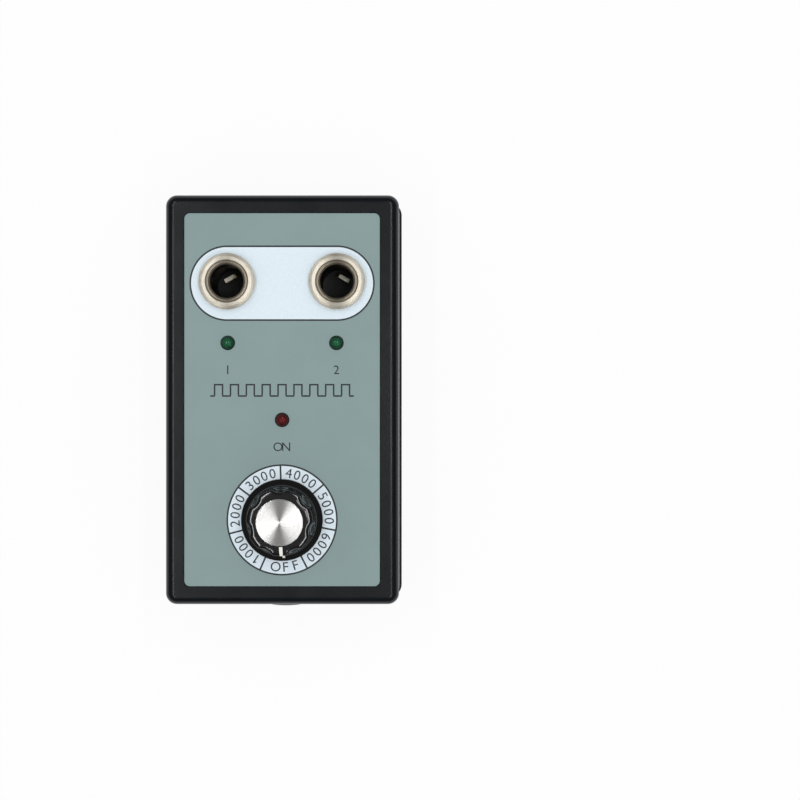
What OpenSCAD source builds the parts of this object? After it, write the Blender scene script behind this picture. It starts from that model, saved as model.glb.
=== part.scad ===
// Spark plug tester: a bench box with two plug sockets, three indicator lamps, a speed knob
// on a printed dial, a low-voltage inlet, and the parts inside that make the spark.
// Millimetres. The box lies on its back: Z = 0 is the underside, +Z leaves the panel,
// and +Y runs from the knob towards the sockets.

/* [Case] */
// Width of the front cover
case_w = 83.5; // [79:0.5:95]
// Length of the front cover
case_l = 146.5; // [140:0.5:165]
// Height of the front cover's rim
lid_h = 5; // [4.6:0.1:7]
// Height of the wall between the two covers
body_h = 31.5; // [29:0.5:40]
// Height of the back cover's rim
back_h = 4.5; // [4:0.1:6]
// Corner radius of the front cover
lid_corner_r = 4; // [3.6:0.1:6]
// Rounding of the front cover's top edge
lid_edge_r = 3.2; // [1:0.1:3.4]
// Overhang of the front cover past the body on each side
lid_overhang = 0.5; // [0.3:0.1:1.5]
// Lean of each body wall, from its top to its foot
body_flare = 0.75; // [0.2:0.05:1.2]
// Reach of the back cover past the front cover on each side
back_reach = 1; // [0.5:0.05:3]
// Rounding of the back cover's top and bottom edges
back_edge_r = 0.9; // [0.4:0.1:1.5]
// Thickness of the body's wall at its top
wall = 2.4; // [2:0.1:3]
// Corner radius inside the case
inner_corner_r = 2; // [1:0.1:3]
// Thickness of the front panel
panel_t = 2.4; // [2:0.1:2.8]
// Thickness of the back cover's floor
back_t = 2.4; // [2:0.1:3]
// Height of the lips that locate both covers in the body
lip_h = 2.2; // [1.5:0.1:3]
// Thickness of those lips
lip_t = 1.8; // [1.4:0.1:2.4]
// Gap between a lip and the wall beside it
lip_gap = 0.15; // [0.1:0.01:0.3]

/* [Case screws] */
// Distance of each case screw from the front cover's two edges
screw_inset = 8.9; // [8:0.1:11]
// Diameter of the case screws
screw_d = 3; // [2.5:0.1:3.5]
// Diameter of their heads
screw_head_d = 5.6; // [5:0.1:6.2]
// Height of their heads
screw_head_h = 2; // [1.5:0.1:2.5]
// Depth of each head below the underside
screw_sink = 0.4; // [0.2:0.1:1]
// Gap round a screw in its hole
screw_gap = 0.2; // [0.1:0.05:0.3]
// Depth of each screw's tip in the front panel
screw_bite = 0.8; // [0.3:0.1:1.2]
// Diameter of the posts that the screws run through
post_d = 7.5; // [6.8:0.1:8.5]
// Thickness of the webs between post and wall
web_t = 1.6; // [1.2:0.1:2.4]

/* [Label] */
// Width of the panel label
label_w = 69.8; // [64:0.1:72]
// Length of the panel label
label_l = 133.2; // [128:0.1:134]
// Thickness of the label
label_t = 0.5; // [0.3:0.05:0.7]
// Depth of the recess that the label lies in
label_depth = 0.8; // [0.6:0.05:1]
// Corner radius of the label
label_corner_r = 2; // [1:0.1:4]
// Gap round the label in its recess
label_gap = 0.2; // [0.1:0.05:0.4]

/* [Plug sockets] */
// Distance between the two sockets
socket_pitch = 39.2; // [36:0.1:42]
// Place of the sockets along the case
socket_y = 42.2; // [40:0.1:46]
// Bore that takes the plug's insulator
socket_bore_d = 12; // [11:0.1:12.4]
// Outside diameter of the sleeve's thread
socket_thread_d = 15; // [14.6:0.1:16]
// Gap round the sleeve in the panel
socket_hole_gap = 0.2; // [0.1:0.05:0.4]
// Gap between the nut and the thread
thread_gap = 0.06; // [0.03:0.01:0.1]
// Diameter of the round nut
nut_d = 20; // [19:0.1:22]
// Height of the round nut
nut_h = 3; // [2:0.1:4]
// Bevel on the nut's outer edge
nut_bevel = 1.1; // [0.4:0.1:1.5]
// Height of that bevel
nut_bevel_h = 0.8; // [0.3:0.1:1.2]
// Drop of the sleeve's end below the nut's face
sleeve_drop = 0.4; // [0.1:0.1:1]
// Chamfer at the mouth of the sleeve
sleeve_chamfer = 0.6; // [0.2:0.1:1]
// Diameter of the sleeve's shoulder under the panel
shoulder_d = 20; // [19:0.1:22]
// Height of the shoulder
shoulder_h = 2.2; // [1.5:0.1:3]
// Length of the cup that grips the insulator below the shoulder
cup_len = 7; // [4:0.1:9]
// Wall of that cup
cup_wall = 1.4; // [1:0.1:2]
// Gap round the insulator in the cup
insulator_fit = 0.05; // [0.03:0.01:0.1]
// Wall of the insulating tube
insulator_wall = 1.15; // [0.9:0.05:1.3]
// Thickness of the insulating tube's floor
insulator_floor = 2; // [1.5:0.1:3]
// Room below the insulating tube
insulator_room = 3.2; // [2.8:0.1:4]
// Thickness of the earth tag under the panel
tag_t = 0.5; // [0.3:0.1:0.8]
// Reach of the earth tag's tail from the socket's axis
tag_reach = 14.5; // [13.5:0.1:15]
// Width of the earth tag's tail
tag_w = 4; // [3:0.1:5]
// Width of the earth tag's ring
tag_ring_w = 1.8; // [1.2:0.1:2.2]

/* [Plug contacts] */
// Sideways offset of each contact from its socket's axis
contact_side = 1.7; // [1.2:0.1:2]
// Lengthwise offset of each contact from its socket's axis
contact_ahead = 3; // [2.2:0.1:3]
// Slant of each contact across its socket, in degrees
contact_slant = 30; // [20:1:40]
// Width of the contact strip
contact_w = 1.5; // [1.3:0.1:2.6]
// Thickness of the contact strip
contact_t = 0.35; // [0.25:0.05:0.4]
// Length of the strip's foot and arm
contact_len = 4.2; // [4:0.1:5.2]
// Radius inside the strip's bend
contact_bend_r = 0.9; // [0.6:0.05:1]
// Rise of the arm, in degrees
contact_rise = 3; // [2:1:28]
// Gap between the bend and the root of the arm
contact_gap = 0.12; // [0.08:0.01:0.2]
// Thickness of the contact's soldering tail
contact_tail_t = 0.5; // [0.4:0.05:0.7]
// Reach of that tail past the insulating tube
contact_tail = 1.5; // [1:0.1:2]
// Diameter of the rivet through the insulator's floor
rivet_d = 1.2; // [1:0.1:1.3]
// Gap round the rivet
rivet_gap = 0.05; // [0.03:0.01:0.1]

/* [Lamps] */
// Diameter of each lamp
led_d = 5; // [4.8:0.1:5.2]
// Height of each lamp
led_h = 8.6; // [8:0.1:9]
// Diameter of each lamp's foot
led_foot_d = 5.8; // [5.5:0.1:6]
// Height of each lamp's foot
led_foot_h = 1; // [0.8:0.1:1.2]
// Height of each lamp's dome above the label
led_proud = 2; // [1:0.1:3]
// Gap round each lamp in the panel
led_gap = 0.1; // [0.05:0.05:0.2]
// Distance between the two signal lamps
led_pitch = 38.8; // [36:0.1:42]
// Place of the signal lamps along the case
led_y = 20.3; // [18:0.1:22]
// Place of the power lamp along the case
power_led_y = -7.2; // [-10:0.1:-4]
// Distance between a lamp's two legs
led_leg_pitch = 2.54; // [2:0.01:2.6]
// Diameter of a lamp's legs
led_leg_d = 0.6; // [0.5:0.05:0.7]

/* [Knob] */
// Place of the knob along the case
knob_y = -42.9; // [-46:0.1:-40]
// Gap between the knob and the label
knob_gap = 0.4; // [0.3:0.1:1]
// Height of the knob
knob_h = 16; // [15:0.1:19]
// Diameter of the skirt
skirt_d = 29.2; // [27:0.1:31]
// Height of the skirt's upright rim
skirt_rim = 0.8; // [0.6:0.1:2]
// Height of the whole skirt
skirt_h = 3.4; // [2.5:0.1:4]
// Diameter of the grip at its foot
grip_d = 24.2; // [23:0.1:26]
// Narrowing of the grip's radius towards the top
grip_taper = 0.4; // [0:0.05:0.8]
// Rounding of the grip's top edge
grip_edge_r = 1; // [0.6:0.1:3]
// Number of flutes round the grip
flute_count = 7; // [5:1:9]
// Radius of each flute
flute_r = 4.6; // [4:0.1:5]
// Depth of each flute
flute_depth = 1.5; // [1:0.1:1.8]
// Diameter of the hollow under the knob
knob_hollow_d = 19.5; // [17.5:0.1:20]
// Height of that hollow
knob_hollow_h = 5.2; // [5:0.1:5.6]
// Diameter of the bright cap
cap_d = 16.5; // [14:0.1:17]
// Thickness of the cap
cap_t = 0.6; // [0.4:0.1:1]
// Gap round the cap and the brass insert
insert_gap = 0.05; // [0.03:0.01:0.1]
// Diameter of the brass insert
insert_d = 10; // [9:0.1:11]
// Length of the brass insert
insert_len = 8.4; // [7:0.1:8.8]
// Gap above the shaft's end in the knob
insert_head = 0.2; // [0.1:0.1:0.5]
// Diameter of the grub screw
grub_d = 3; // [2.5:0.1:4]
// Length of the grub screw
grub_len = 5.6; // [4:0.1:6.2]

/* [Speed control] */
// Diameter of the shaft
shaft_d = 6; // [5.8:0.1:6.4]
// Running gap between shaft and bush
shaft_gap = 0.05; // [0.02:0.01:0.08]
// Diameter of the threaded bush
bush_d = 9; // [8.4:0.1:9.6]
// Height of the bush above the label
bush_proud = 4.6; // [4:0.1:4.8]
// Width across the flats of the bush's nut
bush_nut_af = 12; // [11:0.1:13]
// Height of that nut
bush_nut_h = 2.2; // [1.6:0.1:2.8]
// Diameter of the washer under it
washer_d = 15; // [13:0.1:16]
// Thickness of the washer
washer_t = 0.8; // [0.5:0.1:1]
// Thickness of the control's front plate
plate_t = 1.2; // [1:0.1:1.6]
// Diameter of the control's can
can_d = 24.4; // [23:0.1:26]
// Depth of the can
can_h = 10; // [9:0.1:12]
// Gap between the can and the pieces inside it
can_fit = 0.06; // [0.03:0.01:0.1]
// Room round the shaft where it passes a fixed piece
shaft_room = 1; // [0.6:0.1:1.5]
// Length of the shaft below the rotor
shaft_end = 0.6; // [0.2:0.1:1]
// Wall of the can
can_wall = 0.5; // [0.4:0.05:0.7]
// Thickness of the resistance track's wafer
track_t = 1.4; // [1:0.1:1.6]
// Diameter of the rotor
rotor_d = 18; // [16:0.1:19]
// Thickness of the rotor
rotor_t = 2.4; // [2:0.1:3]
// Thickness of the wiper
wiper_t = 0.3; // [0.2:0.05:0.4]
// Gap between the wiper and the track
wiper_gap = 0.3; // [0.2:0.05:0.4]
// Width of the control's terminal lugs
lug_w = 2.4; // [2:0.1:3]
// Thickness of those lugs
lug_t = 0.6; // [0.4:0.1:0.8]
// Distance between those lugs
lug_pitch = 5; // [4:0.1:6]
// Reach of those lugs from the shaft's axis
lug_reach = 17; // [15.5:0.1:18]
// Diameter of the switch behind the can
switch_d = 22.6; // [20:0.1:23]
// Depth of the switch
switch_h = 8; // [6:0.1:9]
// Length of the switch's two lugs
switch_lug_h = 4; // [3:0.1:5]
// Distance between the switch's lugs
switch_lug_pitch = 8; // [6:0.1:12]

/* [Power inlet] */
// Diameter of the inlet's flange
jack_flange_d = 14.6; // [13:0.1:15.4]
// Thickness of the flange's rim
jack_rim = 1.2; // [0.8:0.1:2]
// Height of the domed nose above the wall
jack_nose = 2.4; // [2:0.1:4.5]
// Diameter of the nose's flat face
jack_face_d = 8.6; // [8:0.1:10]
// Diameter of the inlet's hole
jack_hole_d = 6.4; // [6:0.1:6.8]
// Depth of the inlet's hole
jack_depth = 11; // [10:0.1:12]
// Outside diameter of the inlet's thread
jack_thread_d = 11; // [10.4:0.1:11.6]
// Length of the inlet behind its flange
jack_barrel = 13; // [12.5:0.1:14.5]
// Width across the flats of the inlet's nut
jack_nut_af = 14; // [13:0.1:15]
// Height of that nut
jack_nut_h = 2.6; // [2:0.1:3.2]
// Gap round the inlet in the wall
jack_hole_gap = 0.2; // [0.1:0.05:0.4]
// Gap between the flange and the back cover's rim
jack_clear = 0.4; // [0.2:0.1:0.8]
// Diameter of the centre pin
pin_d = 2; // [1.9:0.05:2.5]
// Diameter of the pin's tail
pin_tail_d = 1.6; // [1.2:0.1:1.8]
// Depth of the pin's tip below the nose
pin_recess = 2.6; // [1.5:0.1:3.5]
// Length of the pin's tail and of the spring's tail behind the inlet
jack_tail = 3.4; // [2:0.1:4]
// Width of the inlet's spring
jack_spring_w = 2.2; // [1.8:0.1:2.4]
// Thickness of the inlet's spring
jack_spring_t = 0.35; // [0.25:0.05:0.4]
// Distance of the spring from the wall of the hole
jack_spring_off = 0.3; // [0.2:0.05:0.4]

/* [Circuit board] */
// Thickness of the board
board_t = 1.6; // [1.2:0.1:2]
// Gap between the board and the case wall
board_gap = 3.5; // [2.5:0.1:5]
// Gap between the board's ends and what stands beside them
board_end_gap = 1.6; // [1:0.1:3]
// Distance of each pillar from the board's two edges
pillar_inset = 4.6; // [4:0.1:6]
// Diameter of the pillars
pillar_d = 6; // [5:0.1:7]
// Diameter of the board screws
board_screw_d = 2.5; // [2:0.1:2.8]
// Length of the board screws
board_screw_len = 6.5; // [6:0.1:7]
// Diameter of their heads
board_head_d = 4.8; // [4:0.1:5]
// Height of their heads
board_head_h = 1.7; // [1.2:0.1:2]
// Room below the spark coils
coil_room = 3.4; // [2:0.1:5]
// Width of each spark coil
coil_w = 20; // [16:0.1:21]
// Length of each spark coil
coil_l = 30; // [24:0.1:31]
// Height of each spark coil
coil_h = 16; // [14:0.1:18]
// Height of the spark lead above the coil's foot
coil_exit_h = 1.6; // [1.5:0.1:4]
// Diameter of the spark leads
spark_lead_d = 2.4; // [2:0.1:2.8]
// Diameter of the thin leads
lead_d = 1.4; // [1:0.1:1.8]
// Gap between a lead's end and what it meets
lead_gap = 0.1; // [0.05:0.05:0.2]

/* [Hidden] */
$fn = 64;

// Overlap that makes a cut or a union clean
cut = 0.5;

// Levels of the case, from the underside up
z_lid = back_h + body_h;
z_top = z_lid + lid_h;
z_seat = z_top - label_depth;
z_label = z_seat + label_t;
z_panel = z_seat - panel_t;
z_post_low = back_h + lip_h;
z_post_top = z_lid - lip_h;

// All three shells turn their corners about the same four axes
core = [case_w - 2 * lid_corner_r, case_l - 2 * lid_corner_r];
body_reach = lid_corner_r - lid_overhang;
foot_reach = body_reach + body_flare;
rim_reach = lid_corner_r + back_reach;
inner = [case_w, case_l] - 2 * (lid_overhang + wall) * [1, 1];
lip_out = inner - 2 * lip_gap * [1, 1];
lip_in = lip_out - 2 * lip_t * [1, 1];
screw_x = case_w / 2 - screw_inset;
screw_y = case_l / 2 - screw_inset;
pocket_z = screw_sink + screw_head_h;

// Sockets
socket_x = socket_pitch / 2;
z_nut_top = z_label + nut_h;
z_sleeve_top = z_nut_top - sleeve_drop;
z_shoulder = z_panel - tag_t;
z_bore = z_shoulder - shoulder_h;
insulator_r = socket_thread_d / 2;
z_insulator = back_t + insulator_room;
z_insulator_floor = z_insulator + insulator_floor;
tail_end_y = socket_y - insulator_r - contact_tail;

// Lamps
z_led = z_label + led_proud - led_h;
led_places = [[-led_pitch / 2, led_y], [led_pitch / 2, led_y], [0, power_led_y]];

// Knob and speed control
z_knob = z_label + knob_gap;
z_insert = z_knob + knob_hollow_h;
z_plate = z_panel - plate_t;
z_track = z_plate - track_t;
z_wiper = z_track - wiper_gap - wiper_t;
z_rotor = z_wiper - rotor_t;
z_can = z_plate - can_h;
z_switch = z_can - switch_h;
can_inner_r = can_d / 2 - can_wall - can_fit;
lug_root = rotor_d / 2 + shaft_room;
grub_z = z_insert + insert_len / 2;

// Power inlet
jack_z = back_h + jack_clear + jack_flange_d / 2;
jack_seat_y = -(case_l / 2 - lid_overhang + body_flare);
jack_floor = jack_depth - jack_nose;
jack_spring_r = jack_hole_d / 2 - jack_spring_off - jack_spring_t;

// Circuit board
z_coil = back_t + coil_room;
z_board = z_coil + coil_h;
z_board_top = z_board + board_t;
board_w = inner.x - 2 * board_gap;
board_y1 = socket_y - shoulder_d / 2 - board_end_gap;
board_y0 = knob_y + lug_reach + board_end_gap;
board_l = board_y1 - board_y0;
pillar_x = board_w / 2 - pillar_inset;
pillar_y = [board_y0 + pillar_inset, board_y1 - pillar_inset];
coil_x = board_w / 4 - 1;
coil_end_y = board_y1 - board_end_gap;

// Places of the small components on the board
leg_pitch = 2.54;
transistor_x = 20;
transistor_inset = 6.6;
transistor_y = board_y0 + transistor_inset;
capacitor_inset = 10;
capacitor_y = board_y0 + capacitor_inset;
chip_below_lamps = 9;
chip_y = led_y - chip_below_lamps;
film_x = 9;
resistor_first = 8;
resistor_pitch = 7;
resistor_x = [for (side = [-1, 1], i = [0:2]) side * (resistor_first + i * resistor_pitch)];
resistor_below_lamp = 6;
resistor_y = power_led_y - resistor_below_lamp;

// Bodies of the small components
transistor_w = 10;
transistor_t = 4.4;
transistor_h = 9;
transistor_leg_w = 0.8;
transistor_leg_t = 0.5;
transistor_leg_l = 3.5;
transistor_tab_t = 1.3;
transistor_tab_l = 5.5;
transistor_hole_d = 3.6;
capacitor_d = 10;
capacitor_h = 14;
chip_l = 9.6;
chip_w = 6.4;
chip_h = 3.2;
chip_stand = 0.6;
chip_leg_w = 0.6;
chip_leg_t = 0.8;
film_l = 7.2;
film_t = 3;
film_h = 7;
film_r = 0.8;
resistor_l = 6.2;
resistor_d = 2.3;
resistor_span = 10;
resistor_wire_d = 0.6;

// Quarter of a disc, for rounded sections
module quarter(r) {
    intersection() {
        circle(r);
        square(r);
    }
}

// Rectangle with round corners, centred
module rounded_rect(size, r) {
    square([size.x - 2 * r, size.y], center = true);
    square([size.x, size.y - 2 * r], center = true);
    for (x = [-1, 1], y = [-1, 1])
        translate([x * (size.x / 2 - r), y * (size.y / 2 - r)]) circle(r);
}

// Frame between two rounded rectangles
module rounded_frame(outer, hole, r) {
    difference() {
        rounded_rect(outer, r);
        rounded_rect(hole, r);
    }
}

// Carries an edge section round a rectangle: straight along the sides, turned at the corners
module swept_block(h) {
    translate([-core.x / 2, -core.y / 2, 0]) cube([core.x, core.y, h]);
    for (turn = [0, 180]) rotate(turn) {
        translate([core.x / 2, core.y / 2, 0])
            rotate([90, 0, 0]) linear_extrude(core.y) children();
        rotate(90) translate([core.y / 2, core.x / 2, 0])
            rotate([90, 0, 0]) linear_extrude(core.x) children();
        translate([core.x / 2, core.y / 2, 0]) rotate_extrude(angle = 90) children();
        translate([-core.x / 2, core.y / 2, 0])
            rotate(90) rotate_extrude(angle = 90) children();
    }
}

// Edge section of the front cover, rounded at the top
module lid_section() {
    square([lid_corner_r - lid_edge_r, lid_h]);
    square([lid_corner_r, lid_h - lid_edge_r]);
    translate([lid_corner_r - lid_edge_r, lid_h - lid_edge_r]) quarter(lid_edge_r);
}

// Edge section of the back cover, rounded at the top and the bottom
module back_section() {
    square([rim_reach - back_edge_r, back_h]);
    translate([0, back_edge_r]) square([rim_reach, back_h - 2 * back_edge_r]);
    translate([rim_reach - back_edge_r, back_h - back_edge_r]) quarter(back_edge_r);
    translate([rim_reach - back_edge_r, back_edge_r]) mirror([0, 1]) quarter(back_edge_r);
}

module at_screws() {
    for (x = [-1, 1], y = [-1, 1]) translate([x * screw_x, y * screw_y, 0]) children();
}

module at_pillars() {
    for (x = [-pillar_x, pillar_x], y = pillar_y) translate([x, y, 0]) children();
}

module at_lamps() {
    for (place = led_places) translate([place.x, place.y, 0]) children();
}

module at_socket(side) {
    translate([side * socket_x, socket_y, 0]) children();
}

module at_sockets() {
    for (side = [-1, 1]) at_socket(side) children();
}

module at_knob() {
    translate([0, knob_y, 0]) children();
}

// Places a turned piece along the inlet's axis, with its Z pointing into the case
module at_inlet() {
    translate([0, jack_seat_y, jack_z]) rotate([-90, 0, 0]) children();
}

// Plain ring or tube standing on its base
module tube(r_out, r_in, h) {
    rotate_extrude() translate([r_in, 0]) square([r_out - r_in, h]);
}

// Holes that go through the label and the panel alike
module panel_holes(z, h) {
    translate([0, 0, z]) {
        at_sockets() cylinder(d = socket_thread_d + 2 * socket_hole_gap, h = h);
        at_lamps() cylinder(d = led_d + 2 * led_gap, h = h);
        at_knob() cylinder(d = bush_d + 2 * socket_hole_gap, h = h);
    }
}

// Moulded front cover: rounded rim, sunk panel, locating lip, screw bosses and board pillars
module front_cover() {
    color([0.13, 0.14, 0.14]) difference() {
        union() {
            difference() {
                translate([0, 0, z_lid]) swept_block(lid_h) lid_section();
                translate([0, 0, z_lid - cut])
                    linear_extrude(z_panel - z_lid + cut) rounded_rect(lip_in, inner_corner_r);
            }
            translate([0, 0, z_post_top])
                linear_extrude(lip_h + cut) rounded_frame(lip_out, lip_in, inner_corner_r);
            at_screws() translate([0, 0, z_post_top])
                cylinder(d = post_d, h = z_panel - z_post_top + cut);
            at_pillars() translate([0, 0, z_board_top])
                cylinder(d = pillar_d, h = z_panel - z_board_top + cut);
        }
        translate([0, 0, z_seat]) linear_extrude(label_depth + cut)
            rounded_rect([label_w, label_l] + 2 * label_gap * [1, 1], label_corner_r + label_gap);
        panel_holes(z_panel - cut, panel_t + 2 * cut);
        at_screws() translate([0, 0, z_post_top - cut])
            cylinder(d = screw_d + 2 * thread_gap, h = z_panel - z_post_top + screw_bite + 2 * cut);
        at_pillars() translate([0, 0, z_board_top - cut])
            cylinder(d = board_screw_d + 2 * thread_gap, h = board_screw_len + cut);
    }
}

// Moulded wall of the case: leaning sides, four screw posts with their webs, and the inlet's hole
module case_body() {
    post_h = z_post_top - z_post_low;
    color([0.15, 0.16, 0.16]) difference() {
        union() {
            difference() {
                translate([0, 0, back_h]) swept_block(body_h)
                    polygon([[0, 0], [foot_reach, 0], [body_reach, body_h], [0, body_h]]);
                translate([0, 0, back_h - cut])
                    linear_extrude(body_h + 2 * cut) rounded_rect(inner, inner_corner_r);
            }
            for (x = [0, 1], y = [0, 1]) mirror([x, 0, 0]) mirror([0, y, 0])
                translate([screw_x, screw_y, z_post_low]) {
                    cylinder(d = post_d, h = post_h);
                    translate([0, -web_t / 2, 0])
                        cube([inner.x / 2 - screw_x + cut, web_t, post_h]);
                    translate([-web_t / 2, 0, 0])
                        cube([web_t, inner.y / 2 - screw_y + cut, post_h]);
                }
        }
        at_screws() translate([0, 0, z_post_low - cut])
            cylinder(d = screw_d + 2 * screw_gap, h = post_h + 2 * cut);
        at_inlet() translate([0, 0, -cut])
            cylinder(d = jack_thread_d + 2 * jack_hole_gap, h = wall + body_flare + 2 * cut);
    }
}

// Moulded back cover: rounded rim, floor, locating lip and sunk screw bosses
module back_cover() {
    notch_w = jack_nut_af + 4;
    color([0.14, 0.15, 0.15]) difference() {
        union() {
            difference() {
                swept_block(back_h) back_section();
                translate([0, 0, back_t])
                    linear_extrude(back_h) rounded_rect(lip_in, inner_corner_r);
            }
            translate([0, 0, back_h - cut]) linear_extrude(lip_h + cut) difference() {
                rounded_frame(lip_out, lip_in, inner_corner_r);
                translate([-notch_w / 2, -inner.y / 2]) square([notch_w, inner.y / 4]);
            }
            at_screws() translate([0, 0, back_t - cut])
                cylinder(d = post_d, h = z_post_low - back_t + cut);
        }
        at_screws() translate([0, 0, -cut]) {
            cylinder(d = screw_head_d + 2 * screw_gap, h = pocket_z + cut);
            cylinder(d = screw_d + 2 * screw_gap, h = z_post_low + 2 * cut);
        }
    }
}

// Cross recess in a screw's head, cut from below
module cross_recess(d, depth) {
    for (turn = [0, 90]) rotate(turn)
        translate([-d / 2, -d / 8, -cut]) cube([d, d / 4, depth + cut]);
}

// Pan-head screw that points up, with its head below Z = 0
module pan_screw(d, length, head_d, head_h) {
    crown_r = 0.36 * head_d;
    recess_d = 0.5 * head_d;
    recess_h = 0.6 * head_h;
    difference() {
        rotate_extrude() polygon([[0, -head_h], [crown_r, -head_h], [head_d / 2, -head_h / 2],
            [head_d / 2, 0], [d / 2, 0], [d / 2, length], [0, length]]);
        translate([0, 0, -head_h]) cross_recess(recess_d, recess_h);
    }
}

// Four long screws that clamp both covers to the body
module case_screws() {
    color("silver") at_screws() translate([0, 0, pocket_z])
        pan_screw(screw_d, z_panel + screw_bite - pocket_z, screw_head_d, screw_head_h);
}

// Printed label that lies in the front cover's recess
module panel_label() {
    color([0.62, 0.71, 0.7]) difference() {
        translate([0, 0, z_seat]) linear_extrude(label_t)
            rounded_rect([label_w, label_l], label_corner_r);
        panel_holes(z_seat - cut, label_t + 2 * cut);
    }
}

// Round nut that holds a socket to the panel
module socket_nut(side) {
    r_in = socket_thread_d / 2 + thread_gap;
    rim = nut_d / 2;
    color([0.8, 0.77, 0.7]) at_socket(side) translate([0, 0, z_label])
        rotate_extrude() polygon([[r_in, 0], [rim, 0], [rim, nut_h - nut_bevel_h],
            [rim - nut_bevel, nut_h], [r_in, nut_h]]);
}

// Turned sleeve: threaded neck through the panel, shoulder below it, cup for the insulator
module socket_sleeve(side) {
    r_bore = socket_bore_d / 2;
    r_cup = insulator_r + insulator_fit;
    neck = socket_thread_d / 2;
    color([0.72, 0.7, 0.66]) at_socket(side) rotate_extrude() polygon([
        [r_bore, z_bore], [r_cup, z_bore], [r_cup, z_bore - cup_len],
        [r_cup + cup_wall, z_bore - cup_len], [r_cup + cup_wall, z_bore],
        [shoulder_d / 2, z_bore], [shoulder_d / 2, z_shoulder], [neck, z_shoulder],
        [neck, z_sleeve_top], [r_bore + sleeve_chamfer, z_sleeve_top],
        [r_bore, z_sleeve_top - sleeve_chamfer]]);
}

// Insulating tube with a closed floor, held in the sleeve's cup
module socket_insulator(side) {
    color([0.07, 0.07, 0.07]) at_socket(side) difference() {
        translate([0, 0, z_insulator]) cylinder(r = insulator_r, h = z_bore - z_insulator);
        translate([0, 0, z_insulator_floor])
            cylinder(r = insulator_r - insulator_wall, h = z_bore - z_insulator_floor + cut);
        translate([side * contact_side, contact_ahead, z_insulator - cut])
            cylinder(d = rivet_d + 2 * rivet_gap, h = insulator_floor + 2 * cut);
    }
}

// Earth tags clamped between each sleeve's shoulder and the panel
module socket_earth_tags() {
    ring_in = socket_thread_d / 2 + socket_hole_gap;
    color([0.75, 0.7, 0.5]) at_sockets() translate([0, 0, z_shoulder]) difference() {
        union() {
            cylinder(r = ring_in + tag_ring_w, h = tag_t);
            translate([-tag_w / 2, -tag_reach, 0]) cube([tag_w, tag_reach, tag_t]);
        }
        translate([0, 0, -cut]) cylinder(r = ring_in, h = tag_t + 2 * cut);
    }
}

// Places a contact: its own X runs along the strip, towards the bend
module at_contact(side) {
    at_socket(side) mirror([side > 0 ? 1 : 0, 0, 0])
        translate([-contact_side, contact_ahead, z_insulator_floor]) rotate(contact_slant)
            children();
}

// Fixed half of a plug contact: foot, bend, rivet through the floor and soldering tail
module contact_base(side) {
    bend_x = contact_len / 2;
    tail_len = socket_y + contact_ahead - tail_end_y;
    color([0.82, 0.68, 0.42]) {
        at_contact(side) {
            translate([-bend_x, -contact_w / 2, 0]) cube([contact_len, contact_w, contact_t]);
            translate([bend_x, contact_w / 2, contact_t + contact_bend_r])
                rotate([90, 0, 0]) rotate([0, 0, -90]) rotate_extrude(angle = 180 - contact_rise)
                    translate([contact_bend_r, 0]) square([contact_t, contact_w]);
            translate([0, 0, -insulator_floor - contact_tail_t / 2])
                cylinder(d = rivet_d, h = insulator_floor + contact_tail_t / 2 + contact_t / 2);
        }
        at_socket(side) translate([side * contact_side - contact_w / 2,
            contact_ahead - tail_len, z_insulator - contact_tail_t])
            cube([contact_w, tail_len + rivet_d / 2, contact_tail_t]);
    }
}

// Sprung half of a plug contact: the arm that a plug's terminal pushes down
module contact_arm(side) {
    bend_x = contact_len / 2;
    z_bend = contact_t + contact_bend_r;
    color([0.86, 0.72, 0.46]) at_contact(side) translate([bend_x, 0, z_bend])
        rotate([0, contact_rise, 0]) translate([-contact_len - contact_gap, -contact_w / 2, 0])
            translate([0, 0, contact_bend_r]) cube([contact_len, contact_w, contact_t]);
}

// Round lamp with a domed end and a wider foot
module lamp(place, tint) {
    r = led_d / 2;
    color(tint) translate([place.x, place.y, z_led]) rotate_extrude() {
        square([led_foot_d / 2, led_foot_h]);
        square([r, led_h - r]);
        translate([0, led_h - r]) quarter(r);
    }
}

// Two legs from each lamp down through the board
module lamp_legs() {
    color("silver") at_lamps() for (x = [-0.5, 0.5])
        translate([x * led_leg_pitch, 0, z_board]) cylinder(d = led_leg_d, h = z_led - z_board);
}

// Outer form of the knob before it is fluted
module knob_section() {
    r_grip = grip_d / 2;
    r_top = r_grip - grip_taper;
    polygon([[0, 0], [skirt_d / 2, 0], [skirt_d / 2, skirt_rim], [r_grip, skirt_h],
        [r_top, knob_h - grip_edge_r], [0, knob_h - grip_edge_r]]);
    square([r_top - grip_edge_r, knob_h]);
    translate([r_top - grip_edge_r, knob_h - grip_edge_r]) quarter(grip_edge_r);
}

// Cutter for one flute: upright, with a round lower end that runs out above the skirt
module flute() {
    rotate_extrude() {
        translate([0, flute_r]) square([flute_r, knob_h]);
        translate([0, flute_r]) mirror([0, 1]) quarter(flute_r);
    }
}

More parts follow.
